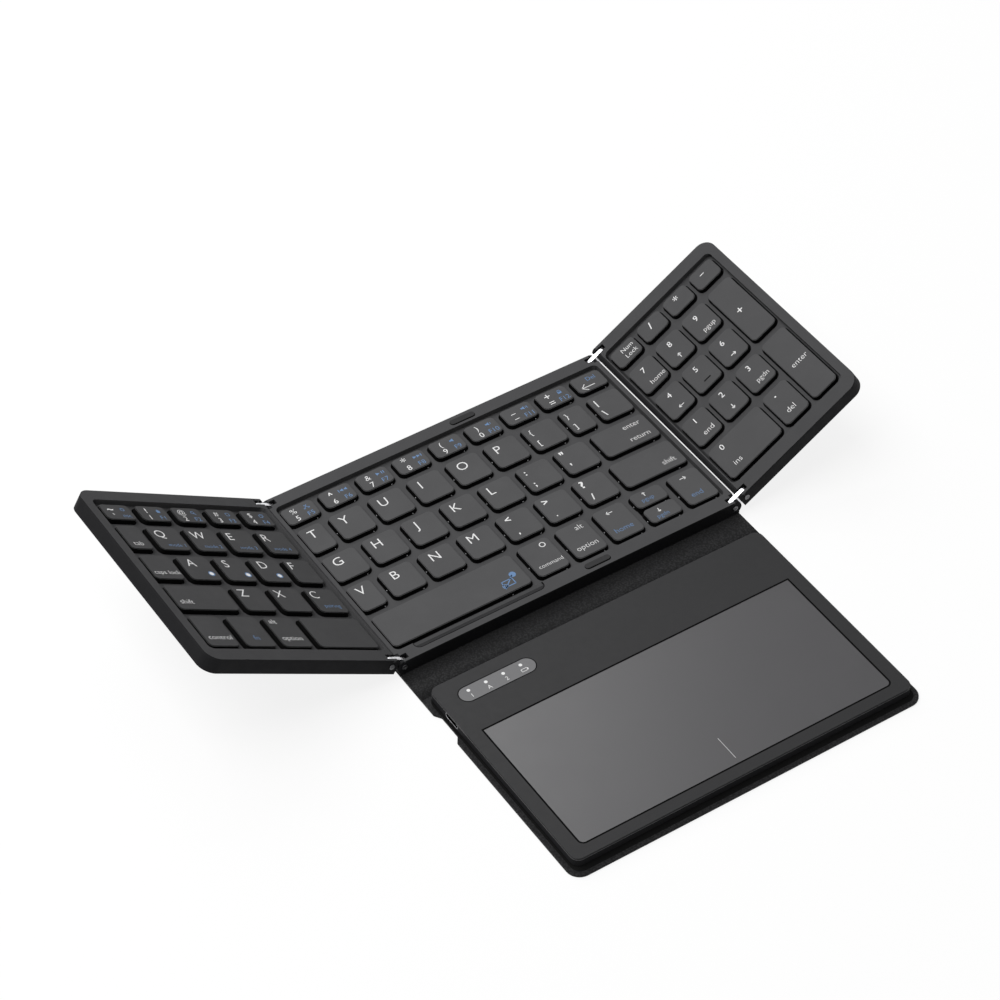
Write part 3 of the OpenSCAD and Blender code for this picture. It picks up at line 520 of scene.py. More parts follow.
def board(name, outline, hold):
    """Stiffened leather board with turned, rounded edges, flush at its creases."""
    rings = []
    for k in range(EDGE_STEPS + 1):
        a = math.pi / 2 * k / EDGE_STEPS
        rings.append((EDGE * (1 - math.sin(a)), EDGE * (1 - math.cos(a))))
    for k in range(EDGE_STEPS + 1):
        a = math.pi / 2 * k / EDGE_STEPS
        rings.append((EDGE * (1 - math.cos(a)), LEATHER_T - EDGE * (1 - math.sin(a))))
    verts = [(p.x, p.y, z) for e, z in rings for p in inset(outline, e, hold)]
    obj = new_object(name, verts, ring_faces(len(rings), len(outline)), MATS["leather"])
    for p in obj.data.polygons:
        p.use_smooth = len(p.vertices) == 4
    return obj


def cut_slits(obj):
    """Four shallow slits in the underside of the flap, near its corners."""
    boxes = [box_points(x - SLIT_HALF, x + SLIT_HALF, y - SLIT_HALF_W, y + SLIT_HALF_W, -1,
                        SLIT_DEPTH) for x in (-SLIT_X, SLIT_X) for y in (SLIT_FRONT_Y, SLIT_BACK_Y)]
    cutter = box_object("slit_cutter", boxes, MATS["leather"])
    cut = obj.modifiers.new("slits", "BOOLEAN")
    cut.operation = "DIFFERENCE"
    cut.solver = "EXACT"
    cut.object = cutter
    bpy.context.view_layer.update()
    mesh = bpy.data.meshes.new_from_object(obj.evaluated_get(bpy.context.evaluated_depsgraph_get()))
    obj.modifiers.clear()
    obj.data = mesh
    bpy.data.objects.remove(cutter)


def crease(name, y0, y1):
    """The soft skin between two boards, a closed tube of narrow strips."""
    half = COVER_HALF
    left = [(-half + EDGE, 0), (-half + EDGE_MID, EDGE_MID), (-half, EDGE),
            (-half, LEATHER_T - EDGE), (-half + EDGE_MID, LEATHER_T - EDGE_MID),
            (-half + EDGE, LEATHER_T)]
    section = left + [(-x, z) for x, z in reversed(left)]
    verts = [(x, y1 + (y0 - y1) * k / CREASE_STEPS, z) for k in range(CREASE_STEPS + 1)
             for x, z in section]
    obj = new_object(name, verts, ring_faces(CREASE_STEPS + 1, len(section)), MATS["leather"])
    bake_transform(obj)


base = board("cover_base_leather",
             rounded_box(-COVER_HALF, COVER_HALF, FRONT_Y, BASE_BACK, 0, BASE_R), (FRONT_Y,))
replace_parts(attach(base, CENTRE), "cover_base_board")
spine = board("cover_spine_leather",
              rounded_box(-COVER_HALF, COVER_HALF, SPINE_FRONT, SPINE_BACK, 0),
              (SPINE_BACK, SPINE_FRONT))
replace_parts(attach(spine, "cover_spine"), "cover_spine_board")
flap_outline = rounded_outline([
    (-COVER_HALF, FLAP_FRONT, FLAP_R), (COVER_HALF, FLAP_FRONT, FLAP_R),
    (COVER_HALF, FLAP_BACK, 0), (-COVER_HALF, FLAP_BACK, 0),
    (-COVER_HALF, PORT_Y + NOTCH_MOUTH, NOTCH_MOUTH_R),
    (-COVER_HALF + NOTCH_DEPTH, PORT_Y + NOTCH_FLOOR, NOTCH_FLOOR_R),
    (-COVER_HALF + NOTCH_DEPTH, PORT_Y - NOTCH_FLOOR, NOTCH_FLOOR_R),
    (-COVER_HALF, PORT_Y - NOTCH_MOUTH, NOTCH_MOUTH_R)])
flap = board("cover_flap_leather", flap_outline, (FLAP_BACK,))
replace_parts(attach(flap, FLAP), "cover_flap_board")
cut_slits(flap)
crease("spine_crease_leather", FRONT_Y, SPINE_BACK)
crease("flap_crease_leather", SPINE_FRONT, FLAP_BACK)


# Shapes of the printed marks ---------------------------------------------------------------
GLYPHS = {}
FINE, THIN, PLAIN, BOLD = -0.011, -0.006, 0.0, 0.02
SLIVER = 1e-6            # smallest face kept from a text of size 1
ROUND = 24               # points of a circle


def glyph(text, weight=THIN):
    """Vertices and faces of a text, one unit of font size high, as meshed by Blender."""
    if (text, weight) not in GLYPHS:
        curve = bpy.data.curves.new("text", "FONT")
        curve.body = text
        curve.offset = weight
        curve.resolution_u = 3
        obj = bpy.data.objects.new("text", curve)
        bpy.context.scene.collection.objects.link(obj)
        bpy.context.view_layer.update()
        mesh = bpy.data.meshes.new_from_object(obj.evaluated_get(
            bpy.context.evaluated_depsgraph_get()))
        GLYPHS[text, weight] = ([v.co.to_2d() for v in mesh.vertices],
                                [tuple(p.vertices) for p in mesh.polygons if p.area > SLIVER])
        bpy.data.meshes.remove(mesh)
        bpy.data.objects.remove(obj)
        bpy.data.curves.remove(curve)
    return GLYPHS[text, weight]


CAP = max(v.y for v in glyph("H")[0])
LOW = max(v.y for v in glyph("x")[0])


def text_shape(text, x, y, height, low=False, wide=1.0, weight=THIN, left=False):
    """A text centred on x, y, or starting at x; height is that of its capitals, or of an x."""
    points, faces = glyph(text, weight)
    top = LOW if low else CAP
    k = height / top
    first = min(v.x for v in points)
    anchor = first if left else (first + max(v.x for v in points)) / 2
    return [(x + (v.x - anchor) * k * wide, y + (v.y - top / 2) * k) for v in points], faces


def poly(points):
    return points, [tuple(range(len(points)))]


def bar(x0, y0, x1, y1, w):
    d = Vector((x1 - x0, y1 - y0)).normalized() * w / 2
    return poly([(x0 + d.y, y0 - d.x), (x1 + d.y, y1 - d.x), (x1 - d.y, y1 + d.x),
                 (x0 - d.y, y0 + d.x)])


def circle(x, y, r):
    turns = [2 * math.pi * k / ROUND for k in range(ROUND)]
    return [(x + r * math.cos(a), y + r * math.sin(a)) for a in turns]


def disc(x, y, r):
    return poly(circle(x, y, r))


def ring(x, y, r, w):
    return band(circle(x, y, r - w), circle(x, y, r))


def tri(x, y, s, right=True):
    k = 1 if right else -1
    return poly([(x - k * s / 2, y - s / 2), (x + k * s / 2, y), (x - k * s / 2, y + s / 2)][::k])


def arrow(x, y, dx, dy, s):
    """A thin arrow with an open head, pointing along dx, dy."""
    w, back, spread = 0.34, 0.36 * s, 0.3 * s
    tip = (x + dx * s / 2, y + dy * s / 2)
    wings = [bar(tip[0] - dx * back + k * dy * spread, tip[1] - dy * back + k * dx * spread,
                 *tip, w) for k in (-1, 1)]
    return [bar(x - dx * s / 2, y - dy * s / 2, *tip, w)] + wings


def frame_box(x, y, w, h, t):
    x0, x1, y0, y1 = x - w / 2, x + w / 2, y - h / 2, y + h / 2
    return [bar(x0, y0, x1, y0, t), bar(x0, y1, x1, y1, t), bar(x0, y0, x0, y1, t),
            bar(x1, y0, x1, y1, t)]


def icon(kind, x, y):
    """Small plain pictures for the secondary functions of the back row."""
    def line(x0, y0, x1, y1, w):
        return bar(x + x0, y + y0, x + x1, y + y1, w)

    def area(*points):
        return poly([(x + a, y + b) for a, b in points])

    if kind == "prev":
        return [line(-2.1, -0.8, -2.1, 0.8, 0.35), tri(x - 0.9, y, 1.6, False),
                tri(x + 0.9, y, 1.6, False)]
    if kind == "next":
        return [line(2.1, -0.8, 2.1, 0.8, 0.35), tri(x - 0.9, y, 1.6), tri(x + 0.9, y, 1.6)]
    if kind == "play":
        return [tri(x - 1.0, y, 1.7), line(0.7, -0.8, 0.7, 0.8, 0.4),
                line(1.6, -0.8, 1.6, 0.8, 0.4)]
    if kind in ("mute", "quiet", "loud"):
        waves = ("mute", "quiet", "loud").index(kind)
        return [area((-1.6, -0.4), (-0.8, -0.4), (0.1, -1.0), (0.1, 1.0), (-0.8, 0.4),
                     (-1.6, 0.4))] + [
            line(0.8 + 0.7 * k, -0.5 - 0.3 * k, 0.8 + 0.7 * k, 0.5 + 0.3 * k, 0.28)
            for k in range(waves)]
    if kind == "lock":
        return [area((-0.9, -1.0), (0.9, -1.0), (0.9, 0.3), (-0.9, 0.3)),
                ring(x, y + 0.5, 0.7, 0.26)]
    if kind == "cut":
        return [line(-0.8, -0.9, 0.6, 1.0, 0.3), line(0.8, -0.9, -0.6, 1.0, 0.3),
                ring(x - 0.9, y - 0.9, 0.45, 0.2), ring(x + 0.9, y - 0.9, 0.45, 0.2)]
    if kind == "glass":
        return [ring(x - 0.2, y + 0.2, 0.9, 0.28), line(0.4, -0.5, 1.1, -1.1, 0.34)]
    if kind == "page":
        return frame_box(x, y, 1.6, 1.9, 0.26)
    if kind == "pages":
        return frame_box(x - 0.3, y - 0.2, 1.5, 1.6, 0.24) + [
            line(-0.4, 1.0, 1.1, 1.0, 0.24), line(1.0, 1.0, 1.0, -0.5, 0.24)]
    if kind == "home":
        return [area((-1.2, 0), (1.2, 0), (0, 1.1)),
                area((-0.8, -1.0), (0.8, -1.0), (0.8, 0), (-0.8, 0))]
    return [ring(x, y, 1.0, 0.28)]


# A letter starts at its x, moved by its shift; a sign is higher than a figure
SHIFT = {"B": 1.3, "N": 1.0, "M": 0.3, "K": 0.4, "J": 0.9, "I": 0.7, "O": 0.4, "P": 0.2, "L": -0.2}
SIGN = {"*": 1.4, "+": 1.4, "=": 1.25, "?": 1.35, '"': 1.45, "'": 1.2, "<": 1.15, ">": 1.15,
        ":": 1.1, ";": 1.1, "/": 1.15, "|": 1.1, "\\": 1.15, "~": 1.3}
LOW_SHARE = 0.62         # height of an x to the size of its word
DASH, DASH_W = 0.4, 0.12               # half a dash and its thickness, in sign heights
UNDERSCORE_DROP, QUESTION_WIDE = 1.2, 1.3


def weight_of(text):
    if len(text) > 1 and text.islower():
        return FINE
    if len(text) > 1 or text.isupper() or text in "%@#&$":
        return THIN
    return PLAIN if text.isdigit() or text in "(){}[]+*=" else BOLD


def word(text, x, y, size):
    """The shape of a key's text; lower-case words are sized by their x."""
    if text in "-_":
        y -= UNDERSCORE_DROP if text == "_" else 0
        return bar(x - size * DASH, y, x + size * DASH, y, size * DASH_W)
    low = len(text) > 1 and text[0].islower()
    return text_shape(text, x + SHIFT.get(text, 0), y, size * (LOW_SHARE if low else
                      SIGN.get(text, 1)), low, QUESTION_WIDE if text == "?" else 1.0,
                      weight_of(text), len(text) == 1 and text.isupper())


# Prints of the keys ------------------------------------------------------------------------
LETTER, SMALL, WORD = 4.5, 2.8, 2.8
SIGN_Y, FIGURE_Y, PICTURE_Y = 97.6, 93.2, 97.5         # on the back row
LABEL_X, PICTURE_X = 6.2, 6.0                          # from its figures
PRINTS = {"w": ("white", WHITE, 0.03), "b": ("blue", BLUE, 0.02)}      # name, ink, lift
marks = {}


def draw(node, colour, shapes):
    marks.setdefault((node, colour), []).extend(shapes)


def write(node, colour, *texts):
    """Texts on the keys of a node, each (text, x, y, size)."""
    draw(node, colour, [word(*text) for text in texts])


def key_starts(widths, first, across):
    """Left edges of a row's keys, which share out the gaps between them."""
    gap = (across - sum(widths)) / (len(widths) - 1)
    return [first + sum(widths[:i]) + i * gap for i in range(len(widths))]


def number_key(node, x, top, low, label, picture):
    """A key of the back row: a sign over a figure, and a picture over a label."""
    write(node, "w", (top, x, SIGN_Y, SMALL), (low, x, FIGURE_Y, SMALL))
    write(node, "b", (label, x + LABEL_X, FIGURE_Y, SMALL * 0.85))
    draw(node, "b", icon(picture, x + PICTURE_X, PICTURE_Y))


# Centre panel: x from the left pin, y from the front edge
FIRST_X, KEYS_W = 1.1, 158.4
ROW_1_W, KEY_W, EDGE_W, ENTER_W, SHIFT_W = 14.7, 15.3, 11.1, 26.7, 30.3
for i, x in enumerate(key_starts([ROW_1_W] * 9, FIRST_X, KEYS_W)[:8]):
    number_key("row_1_keys", x + 5.0, "%^&*()_+"[i], "567890-="[i], "F%d" % (i + 5),
               ("cut", "prev", "play", "next", "mute", "quiet", "loud", "lock")[i])
draw("backspace_key", "w", arrow(150.4, 93.4, -1, 0, 6.5))
write("backspace_key", "b", ("Del", 154.0, 97.6, SMALL * 0.8))
row = key_starts([EDGE_W] + [KEY_W] * 7 + [EDGE_W], FIRST_X, KEYS_W)
write("row_2_keys", "w", *((c, row[i] + (3.4 if i else 3.2), 81.8, LETTER)
                           for i, c in enumerate("TYUIOP")))
row = key_starts([KEY_W] * 7 + [ENTER_W], FIRST_X, KEYS_W)
write("row_3_keys", "w", *((c, row[i] + 3.5, 62.6, LETTER) for i, c in enumerate("GHJKL")))
write("enter_key", "w", ("enter", 151.7, 63.0, WORD), ("return", 151.3, 55.4, WORD))
row = key_starts([EDGE_W] + [KEY_W] * 6 + [SHIFT_W], FIRST_X, KEYS_W)
write("row_4_keys", "w", *((c, row[i] + (3.4 if i else 3.0), 43.3, LETTER)
                           for i, c in enumerate("VBNM")))
for node, top_y, low_y, pairs in (
        ("row_2_keys", 82.7, 75.6, (("{", "[", 113.6), ("}", "]", 131.9), ("|", "\\", 146.8))),
        ("row_3_keys", 63.6, 56.0, ((":", ";", 98.3), ('"', "'", 117.3))),
        ("row_4_keys", 44.5, 36.3, (("<", ",", 77.2), (">", ".", 95.7), ("?", "/", 114.2)))):
    for top, low, x in pairs:
        write(node, "w", (top, x, top_y, SMALL), (low, x, low_y, SMALL))
write("right_shift_key", "w", ("shift", 152.7, 36.3, WORD))
write("modifier_keys", "w", ("command", 78.6, 13.8, WORD * 0.76), ("alt", 99.2, 24.5, WORD),
      ("option", 96.4, 13.8, WORD))
draw("modifier_keys", "w", [ring(81.2, 24.6, 1.4, 0.4)])
write("left_arrow_key", "b", ("home", 114.6, 13.8, WORD))
write("up_arrow_key", "b", ("pgup", 132.4, 22.6, WORD * 0.8))
write("down_arrow_key", "b", ("pgdn", 132.4, 11.4, WORD * 0.8))
write("right_arrow_key", "b", ("end", 151.2, 13.8, WORD))
draw("left_arrow_key", "w", arrow(114.2, 24.6, -1, 0, 3.0))
draw("right_arrow_key", "w", arrow(151.2, 24.6, 1, 0, 3.0))
draw("up_arrow_key", "w", arrow(132.4, 25.8, 0, 1, 2.2))
draw("down_arrow_key", "w", arrow(132.4, 14.8, 0, -1, 2.2))
draw("space_key", "b", frame_box(58.0, 14.0, 5.0, 3.2, 0.45)
     + [disc(61.8, 17.2, 1.5), bar(55.2, 11.6, 61.4, 17.0, 0.5), ring(55.8, 13.0, 1.2, 0.4)])

# Left wing: x is minus the distance from its pin
LEFT_ROW_1_W = 14.5
for i, x in enumerate(key_starts([LEFT_ROW_1_W] * 5, 1.0, 85.4)):
    number_key("left_row_1_keys", 4.4 - x - LEFT_ROW_1_W, "$#@!~"[i], "4321`"[i],
               ("F4", "F3", "F2", "F1", "esc")[i], ("pages", "page", "glass", "home", "")[i])
write("tab_key", "w", ("tab", -81.4, 74.4, WORD))
write("left_row_2_keys", "w", ("Q", -69.3, 81.8, LETTER), ("W", -51.2, 81.8, LETTER),
      ("E", -32.6, 81.8, LETTER), ("R", -14.7, 81.8, LETTER))
write("left_row_2_keys", "b", *(("mode %d" % (i + 1), x, 74.2, WORD * 0.75)
                                for i, x in enumerate((-62.4, -44.2, -26.2, -8.4))))
write("caps_lock_key", "w", ("caps lock", -78.6, 55.6, WORD * 0.88))
write("left_row_3_keys", "w", ("A", -65.3, 62.8, LETTER), ("S", -46.9, 62.8, LETTER),
      ("D", -28.8, 62.8, LETTER), ("F", -12.8, 62.8, LETTER))
write("left_shift_key", "w", ("shift", -80.7, 36.6, WORD))
write("left_row_4_keys", "w", ("Z", -51.1, 43.5, LETTER), ("X", -32.9, 43.5, LETTER),
      ("C", -14.7, 43.5, LETTER))
write("left_row_4_keys", "b", ("pairing", -7.7, 36.0, WORD * 0.8))
write("left_modifier_keys", "w", ("control", -78.5, 14.2, WORD), ("alt", -46.2, 24.7, WORD),
      ("option", -42.9, 14.2, WORD))
write("left_modifier_keys", "b", ("fn", -60.7, 14.2, WORD))
for colour, r in (("b", 1.5), ("w", 1.0)):
    draw("left_row_3_keys", colour, [disc(x, 55.9, r) for x in (-56.8, -38.4, -22.2)])

# Right wing: x from its pin; its columns of figures
COL_1, COL_2, COL_3 = 7.2, 22.9, 38.6
write("pad_row_1_keys", "w", ("Num", 9.3, 97.6, SMALL * 0.78), ("Lock", 9.5, 94.0, SMALL * 0.78),
      ("/", COL_2, 96.9, SMALL), ("*", 38.8, 96.9, SMALL), ("-", 54.2, 96.9, SMALL))
write("pad_row_2_keys", "w", ("7", COL_1, 82.4, SMALL), ("home", 9.8, 74.4, WORD * 0.9),
      ("8", COL_2, 82.4, SMALL), ("9", COL_3, 82.4, SMALL), ("pgup", 40.6, 74.4, WORD * 0.9))
write("pad_plus_key", "w", ("+", 54.2, 69.0, SMALL))
write("pad_row_3_keys", "w", ("4", COL_1, 63.2, SMALL), ("5", COL_2, 63.2, SMALL),
      ("6", COL_3, 63.2, SMALL))
write("pad_row_4_keys", "w", ("1", COL_1, 44.2, SMALL), ("end", 8.9, 36.0, WORD),
      ("2", COL_2, 44.2, SMALL), ("3", COL_3, 44.2, SMALL), ("pgdn", 40.6, 36.0, WORD * 0.9))
write("pad_zero_key", "w", ("0", 7.3, 24.9, SMALL), ("ins", 8.2, 14.2, WORD))
write("pad_point_key", "w", (".", 37.8, 25.4, SMALL * 1.2), ("del", 39.1, 14.2, WORD))
write("pad_enter_key", "w", ("enter", 56.0, 28.6, WORD))
PAD_ARROW = 2.6
draw("pad_row_2_keys", "w", arrow(COL_2, 74.5, 0, 1, PAD_ARROW))
draw("pad_row_3_keys", "w", arrow(8.2, 55.1, -1, 0, PAD_ARROW))
draw("pad_row_3_keys", "w", arrow(38.9, 55.1, 1, 0, PAD_ARROW))
draw("pad_row_4_keys", "w", arrow(COL_2, 36.0, 0, -1, PAD_ARROW))

for (node, colour), shapes in marks.items():
    colour_name, colour_ink, lift = PRINTS[colour]
    obj = flat_object("%s_%s_print" % (node, colour_name), shapes, KEY_TOP + lift, colour_ink,
                      panel_frame(KEYS[node]))
    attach(obj, node)


# Ribs and painted shadow lines on the panels -------------------------------------------------
RIB_HALF_W, RIB_NEAR, RIB_FAR, RIB_TOP = 0.22, 0.08, 0.38, WELL_FLOOR + 0.3
RIB_ACROSS, RIB_ALONG = 0.85, 0.45     # places of a keycap's two ribs, in shares of its size
KEY_GAP, KEY_SHADOW_W, KEY_CORNER = 0.35, 0.3, 2.2
LINE_LIFT = 0.01
RUBBER_X, RUBBER_Y, RUBBER_W, RUBBER_D = 94.15, (3.5, 106.0), 12.0, 2.6
RUBBER_CLEAR, SHADE_ENDS, SHADE_FRONT, SHADE_BACK = 0.02, 0.15, 0.5, 0.06
SCOOP_X, SCOOP_FRONT, SCOOP_END, SCOOP_R, SCOOP_SHADOW_W = (8.0, 69.0), 3.2, 6.5, 2.4, 0.3
SCOOP_STEPS = 8


def islands(node):
    """Bounds x0, x1, y0, y1 of each separate keycap of a node in its panel's frame."""
    obj = frame["nodes"][node]
    to_panel = panel_frame(KEYS[node]).inverted()
    bm = bmesh.new()
    bm.from_mesh(obj.data)
    bmesh.ops.remove_doubles(bm, verts=bm.verts, dist=1e-6)
    seen, out = set(), []
    for start in bm.verts:
        if start in seen:
            continue
        stack, group = [start], []
        seen.add(start)
        while stack:
            v = stack.pop()
            group.append(to_panel @ (obj.matrix_world @ v.co / MM))
            for e in v.link_edges:
                w = e.other_vert(v)
                if w not in seen:
                    seen.add(w)
                    stack.append(w)
        out.append([f(p[i] for p in group) for i in range(2) for f in (min, max)])
    bm.free()
    return out


def key_shadow_line(x0, x1, y0, y1):
    """Painted shadow: a dark line round the opening of a keycap."""
    return band(*(rounded_box(x0 - g, x1 + g, y0 - g, y1 + g, KEY_CORNER + g)
                  for g in (KEY_GAP, KEY_GAP + KEY_SHADOW_W)))


def rubber_shadow(y):
    """Painted shadow round a rubber pad, wide in front of it."""
    outlines = []
    for ends, front, back in ((RUBBER_CLEAR,) * 3, (SHADE_ENDS, SHADE_FRONT, SHADE_BACK)):
        x0, x1 = RUBBER_X - RUBBER_W / 2 - ends, RUBBER_X + RUBBER_W / 2 + ends
        y0, y1 = y - RUBBER_D / 2 - front, y + RUBBER_D / 2 + back
        outlines.append(rounded_box(x0, x1, y0, y1, (y1 - y0) / 2 - 0.02))
    return band(*outlines)


def scoop_shadow():
    """Painted shadow along the front and the ends of the scoop before the space key."""
    (x0, x1), y = SCOOP_X, SCOOP_FRONT + SCOOP_R
    points = []
    for r in (SCOOP_R, SCOOP_R + SCOOP_SHADOW_W):
        points.append((x0 + SCOOP_R - r, SCOOP_END))
        for x, first in ((x0 + SCOOP_R, math.pi), (x1 - SCOOP_R, 1.5 * math.pi)):
            turns = [first + math.pi / 2 * k / SCOOP_STEPS for k in range(SCOOP_STEPS + 1)]
            points += [(x + r * math.cos(a), y + r * math.sin(a)) for a in turns]
        points.append((x1 - SCOOP_R + r, SCOOP_END))
    n = len(points) // 2
    return points, [(k, n + k, n + k + 1, k + 1) for k in range(n - 1)]


keycaps = {node: islands(node) for node in KEYS}
boxes = []
for node in (n for n in KEYS if KEYS[n] == 0):
    for x0, x1, y0, y1 in keycaps[node]:
        x, y = x0 + RIB_ACROSS * (x1 - x0), y0 + RIB_ALONG * (y1 - y0)
        boxes.append(box_points(x - RIB_HALF_W, x + RIB_HALF_W, y0 - RIB_FAR, y0 - RIB_NEAR,
                                0, RIB_TOP))
        if node not in ("row_1_keys", "backspace_key"):
            boxes.append(box_points(x0 - RIB_FAR, x0 - RIB_NEAR, y - RIB_HALF_W, y + RIB_HALF_W,
                                    0, RIB_TOP))
ribs = box_object("key_guide_ribs", boxes, MATS["rib"], panel_frame(0))
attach(ribs, CENTRE)

for side, body in PANEL.items():
    shapes = [key_shadow_line(*keycap) for node in KEYS if KEYS[node] == side
              for keycap in keycaps[node]]
    lines = flat_object(SIDE_NAME[side] + "_key_opening_lines", shapes, WELL_FLOOR + LINE_LIFT,
                        SHADOW_BLACK, panel_frame(side))
    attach(lines, body)

rim_shadows = flat_object("centre_rim_shadows", [rubber_shadow(y) for y in RUBBER_Y] + [scoop_shadow()],
                        RIM_TOP + LINE_LIFT, SHADOW_BLACK, panel_frame(0))
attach(rim_shadows, CENTRE)

# Homing bar on the middle key of the number pad: a low bar with sloping sides
BAR_X, BAR_Y, BAR_HALF_L, BAR_HALF_W = 23.8, 55.5, 1.85, 0.32
BAR_SLOPE_L, BAR_SLOPE_W, BAR_Z = 0.8, 0.5, (-0.05, 0.22)
homing = box_object("pad_homing_bar", [[
    (BAR_X + a * (BAR_HALF_L - z * BAR_SLOPE_L), BAR_Y + b * (BAR_HALF_W - z * BAR_SLOPE_W),
     KEY_TOP + z) for z in BAR_Z for a, b in ((-1, -1), (1, -1), (1, 1), (-1, 1))]],
    MATS["bar"], panel_frame(1))
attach(homing, "pad_row_3_keys")


# Painted seam shadows, trims and marks of the tray ---------------------------------------------
PAD_HALF, PAD_BACK, PAD_FRONT, PAD_R, PAD_GAP = 73.1, -100.6, -168.9, 2.2, 0.35     # touchpad
PAD_BACK_R = 0.05
PAD_SEAM = (-0.18, PAD_GAP + 0.2)
PAD_LINE_Y, PAD_LINE_W, PAD_LINE_SUNK = (-166.1, -154.3), 0.3, 0.03
PILL_X, PILL_Y, PILL_STEPS = (-71.8, -36.5), (-85.6, -77.4), 14       # indicator window
PILL_SEAM = (-0.28, 0.14)
TRAY_HALF, TRAY_FRONT, TRAY_BACK, TRAY_R = 79.6, -174.6, -71.1, 3.5
FOOT_W, FOOT_H, FOOT_STEPS, FOOT_FRONT = 0.85, 0.8, 5, 2.6
TRIM_SUNK = 0.1          # how far a trim reaches into the tray
LIP_Z, LIP_OUT = (5.28, 5.30, 5.50, 5.52), 0.05
LED_X, LED_Y, MARK_Y, LED_R, MARK_SIZE = (-66.7, -58.6, -50.5, -42.4), -80.0, -83.0, 0.75, 1.9
MARK_LIFT = 0.02
BATTERY_W, BATTERY_H, BATTERY_LINE = 2.6, 1.3, 0.22
BATTERY_END_X, BATTERY_END_H, BATTERY_END_LINE = 1.6, 0.8, 0.35


def pad_outline(grow):
    return rounded_box(-PAD_HALF - grow, PAD_HALF + grow, PAD_FRONT - grow, PAD_BACK + grow,
                       PAD_R + grow, PAD_BACK_R)


def pill_outline(grow):
    (x0, x1), (y0, y1) = PILL_X, PILL_Y
    return rounded_box(x0 - grow, x1 + grow, y0 - grow, y1 + grow, (y1 - y0) / 2 + grow - 0.02,
                       steps=PILL_STEPS)


def tray_outline(grow, foot):
    """Outline of the tray; a foot grows most at the front and not at all at the crease."""
    front = TRAY_FRONT - grow * (FOOT_FRONT if foot and grow > 0 else 1)
    back = TRAY_BACK + (min(grow, -0.05) if foot else grow)
    return rounded_box(-TRAY_HALF - grow, TRAY_HALF + grow, front, back, TRAY_R + grow)


def flat_marks(name, shapes, z, body, mat):
    obj = flat_object(name, shapes, z, mat)
    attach(obj, body)


def trim(name, section, mat, foot=False):
    """Closed ring round the tray with the section (outward, z), counter-clockwise."""
    outlines = [tray_outline(out, foot) for out, _ in section]
    verts = [(p.x, p.y, z) for outline, (_, z) in zip(outlines, section) for p in outline]
    faces = ring_faces(len(section), len(outlines[0]), closed=True)
    obj = new_object(name, verts, faces, mat)
    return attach(obj, FLAP)


flat_marks("touchpad_seam_shadow", [band(*map(pad_outline, PAD_SEAM))],
           TRAY_TOP + LINE_LIFT, FLAP, SHADOW_BLACK)
# The black bead round the tray's foot is painted shadow of the tray on the leather.
foot_z = LEATHER_T - 0.02
foot_section = [(-TRIM_SUNK, foot_z), (FOOT_W, foot_z)]
for k in range(FOOT_STEPS + 1):
    a = math.pi / 2 * (1 - k / FOOT_STEPS)
    foot_section.append((FOOT_W * (1 - math.cos(a)), LEATHER_T + FOOT_H * (1 - math.sin(a))))
foot_section.append((-TRIM_SUNK, LEATHER_T + FOOT_H))
trim("tray_foot_shadow_bead", foot_section, MATS["bead"], True)
# Parting lip: real geometry, its lighter colour a painted highlight along the tray's wall.
trim("tray_parting_lip_highlight", list(zip((-TRIM_SUNK, LIP_OUT, LIP_OUT, -TRIM_SUNK), LIP_Z)),
     MATS["lip"])
flat_marks("window_seam_shadow", [band(*map(pill_outline, PILL_SEAM))],
           TRAY_TOP + LINE_LIFT, FLAP, SHADOW_BLACK)
flat_marks("touchpad_centre_line", [bar(0, PAD_LINE_Y[0], 0, PAD_LINE_Y[1], PAD_LINE_W)],
           TRAY_TOP - PAD_LINE_SUNK, FLAP, GREY)
flat_marks("indicator_dots", [disc(x, LED_Y, LED_R) for x in LED_X], TRAY_TOP + MARK_LIFT, FLAP,
           WHITE)
x, y0, y1 = LED_X[3], MARK_Y - BATTERY_END_H / 2, MARK_Y + BATTERY_END_H / 2
battery_mark = frame_box(x, MARK_Y, BATTERY_W, BATTERY_H, BATTERY_LINE) + [
    bar(x + BATTERY_END_X, y0, x + BATTERY_END_X, y1, BATTERY_END_LINE)]
flat_marks("indicator_marks", [text_shape(text, x, MARK_Y, MARK_SIZE)
                               for text, x in zip("1A2", LED_X)] + battery_mark,
           TRAY_TOP + MARK_LIFT, FLAP, WHITE)


# Stage ---------------------------------------------------------------------------------------
FLOOR_GLOW, WORLD_LIGHT = 0.86, 0.08
SENSOR, FOCAL_PIXELS, PICTURE_PIXELS = 36, 3272.2, 1000


def seen_rays(nodes, links):
    """1 for camera, glossy and transmission rays, 0 for the light that falls on the part."""
    path = nodes.new("ShaderNodeLightPath")
    seen = path.outputs["Is Camera Ray"]
    for kind in ("Is Glossy Ray", "Is Transmission Ray"):
        either = nodes.new("ShaderNodeMath")
        either.operation = "MAXIMUM"
        links.new(seen, either.inputs[0])
        links.new(path.outputs[kind], either.inputs[1])
        seen = either.outputs[0]
    return seen


def two_views(tree, output, for_light, for_view, view_share=1.0):
    """Connects one shader for the light that falls on the part and one for what is seen."""
    nodes, links = tree.nodes, tree.links
    share = nodes.new("ShaderNodeMath")
    share.operation = "MULTIPLY"
    share.inputs[1].default_value = view_share
    links.new(seen_rays(nodes, links), share.inputs[0])
    mix = nodes.new("ShaderNodeMixShader")
    for value, socket in zip((share.outputs[0], for_light.outputs[0], for_view.outputs[0]),
                             mix.inputs):
        links.new(value, socket)
    links.new(mix.outputs[0], nodes.new(output).inputs["Surface"])


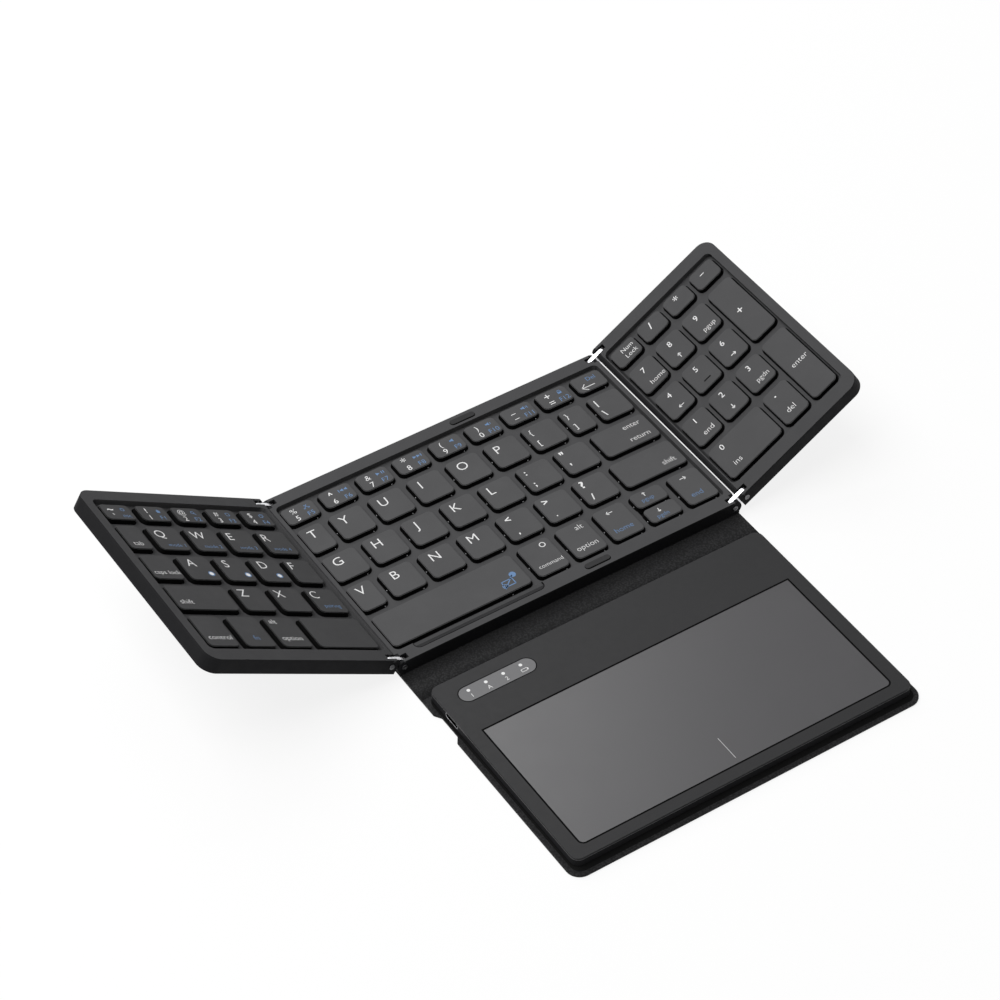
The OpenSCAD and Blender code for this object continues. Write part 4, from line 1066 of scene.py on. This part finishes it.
def plain(tree, kind, **values):
    """A node with its inputs set."""
    n = tree.nodes.new(kind)
    for key, value in values.items():
        n.inputs[key].default_value = value
    return n


bpy.ops.mesh.primitive_plane_add(size=8, location=(0, 0, -0.0002))
floor = bpy.context.object
floor.name = "floor"
floor_mat = bpy.data.materials.new("pale_floor")
floor_mat.use_nodes = True
tree = floor_mat.node_tree
tree.nodes.clear()
two_views(tree, "ShaderNodeOutputMaterial",
          plain(tree, "ShaderNodeBsdfDiffuse", Color=(0.97, 0.97, 0.97, 1)),
          plain(tree, "ShaderNodeEmission", Color=(1, 1, 1, 1)), FLOOR_GLOW)
floor.data.materials.append(floor_mat)

world = bpy.data.worlds.new("studio")
bpy.context.scene.world = world
world.use_nodes = True
tree = world.node_tree
tree.nodes.clear()
two_views(tree, "ShaderNodeOutputWorld",
          plain(tree, "ShaderNodeBackground", Color=(1, 1, 1, 1), Strength=WORLD_LIGHT),
          plain(tree, "ShaderNodeBackground", Color=(1, 1, 1, 1)))


def soft_lamp(name, location, size, power):
    """Rectangular lamp that shines on the middle of the part."""
    data = bpy.data.lights.new(name, "AREA")
    data.shape = "RECTANGLE"
    data.size, data.size_y = size
    data.energy = power
    obj = bpy.data.objects.new(name, data)
    obj.location = location
    obj.rotation_euler = (-Vector(location)).to_track_quat("-Z", "Y").to_euler()
    bpy.context.scene.collection.objects.link(obj)


soft_lamp("overhead_softbox", (-1.1, 0.1, 2.8), (2.1, 2.0), 76)
soft_lamp("back_softbox", (-0.06, 0.9, 1.05), (1.3, 0.8), 8.5)

camera_data = bpy.data.cameras.new("camera")
camera_data.sensor_width = SENSOR
camera_data.lens = FOCAL_PIXELS * SENSOR / PICTURE_PIXELS
camera_data.clip_start = 0.05
camera = bpy.data.objects.new("camera", camera_data)
camera.rotation_mode = "QUATERNION"
camera.rotation_quaternion = Quaternion((0.8836528, 0.3728142, -0.1029254, -0.2637681))
camera.location = Vector((-512.293, -817.831, 957.247)) * MM
bpy.context.scene.collection.objects.link(camera)
bpy.context.scene.camera = camera
bpy.context.scene.view_settings.view_transform = "Standard"
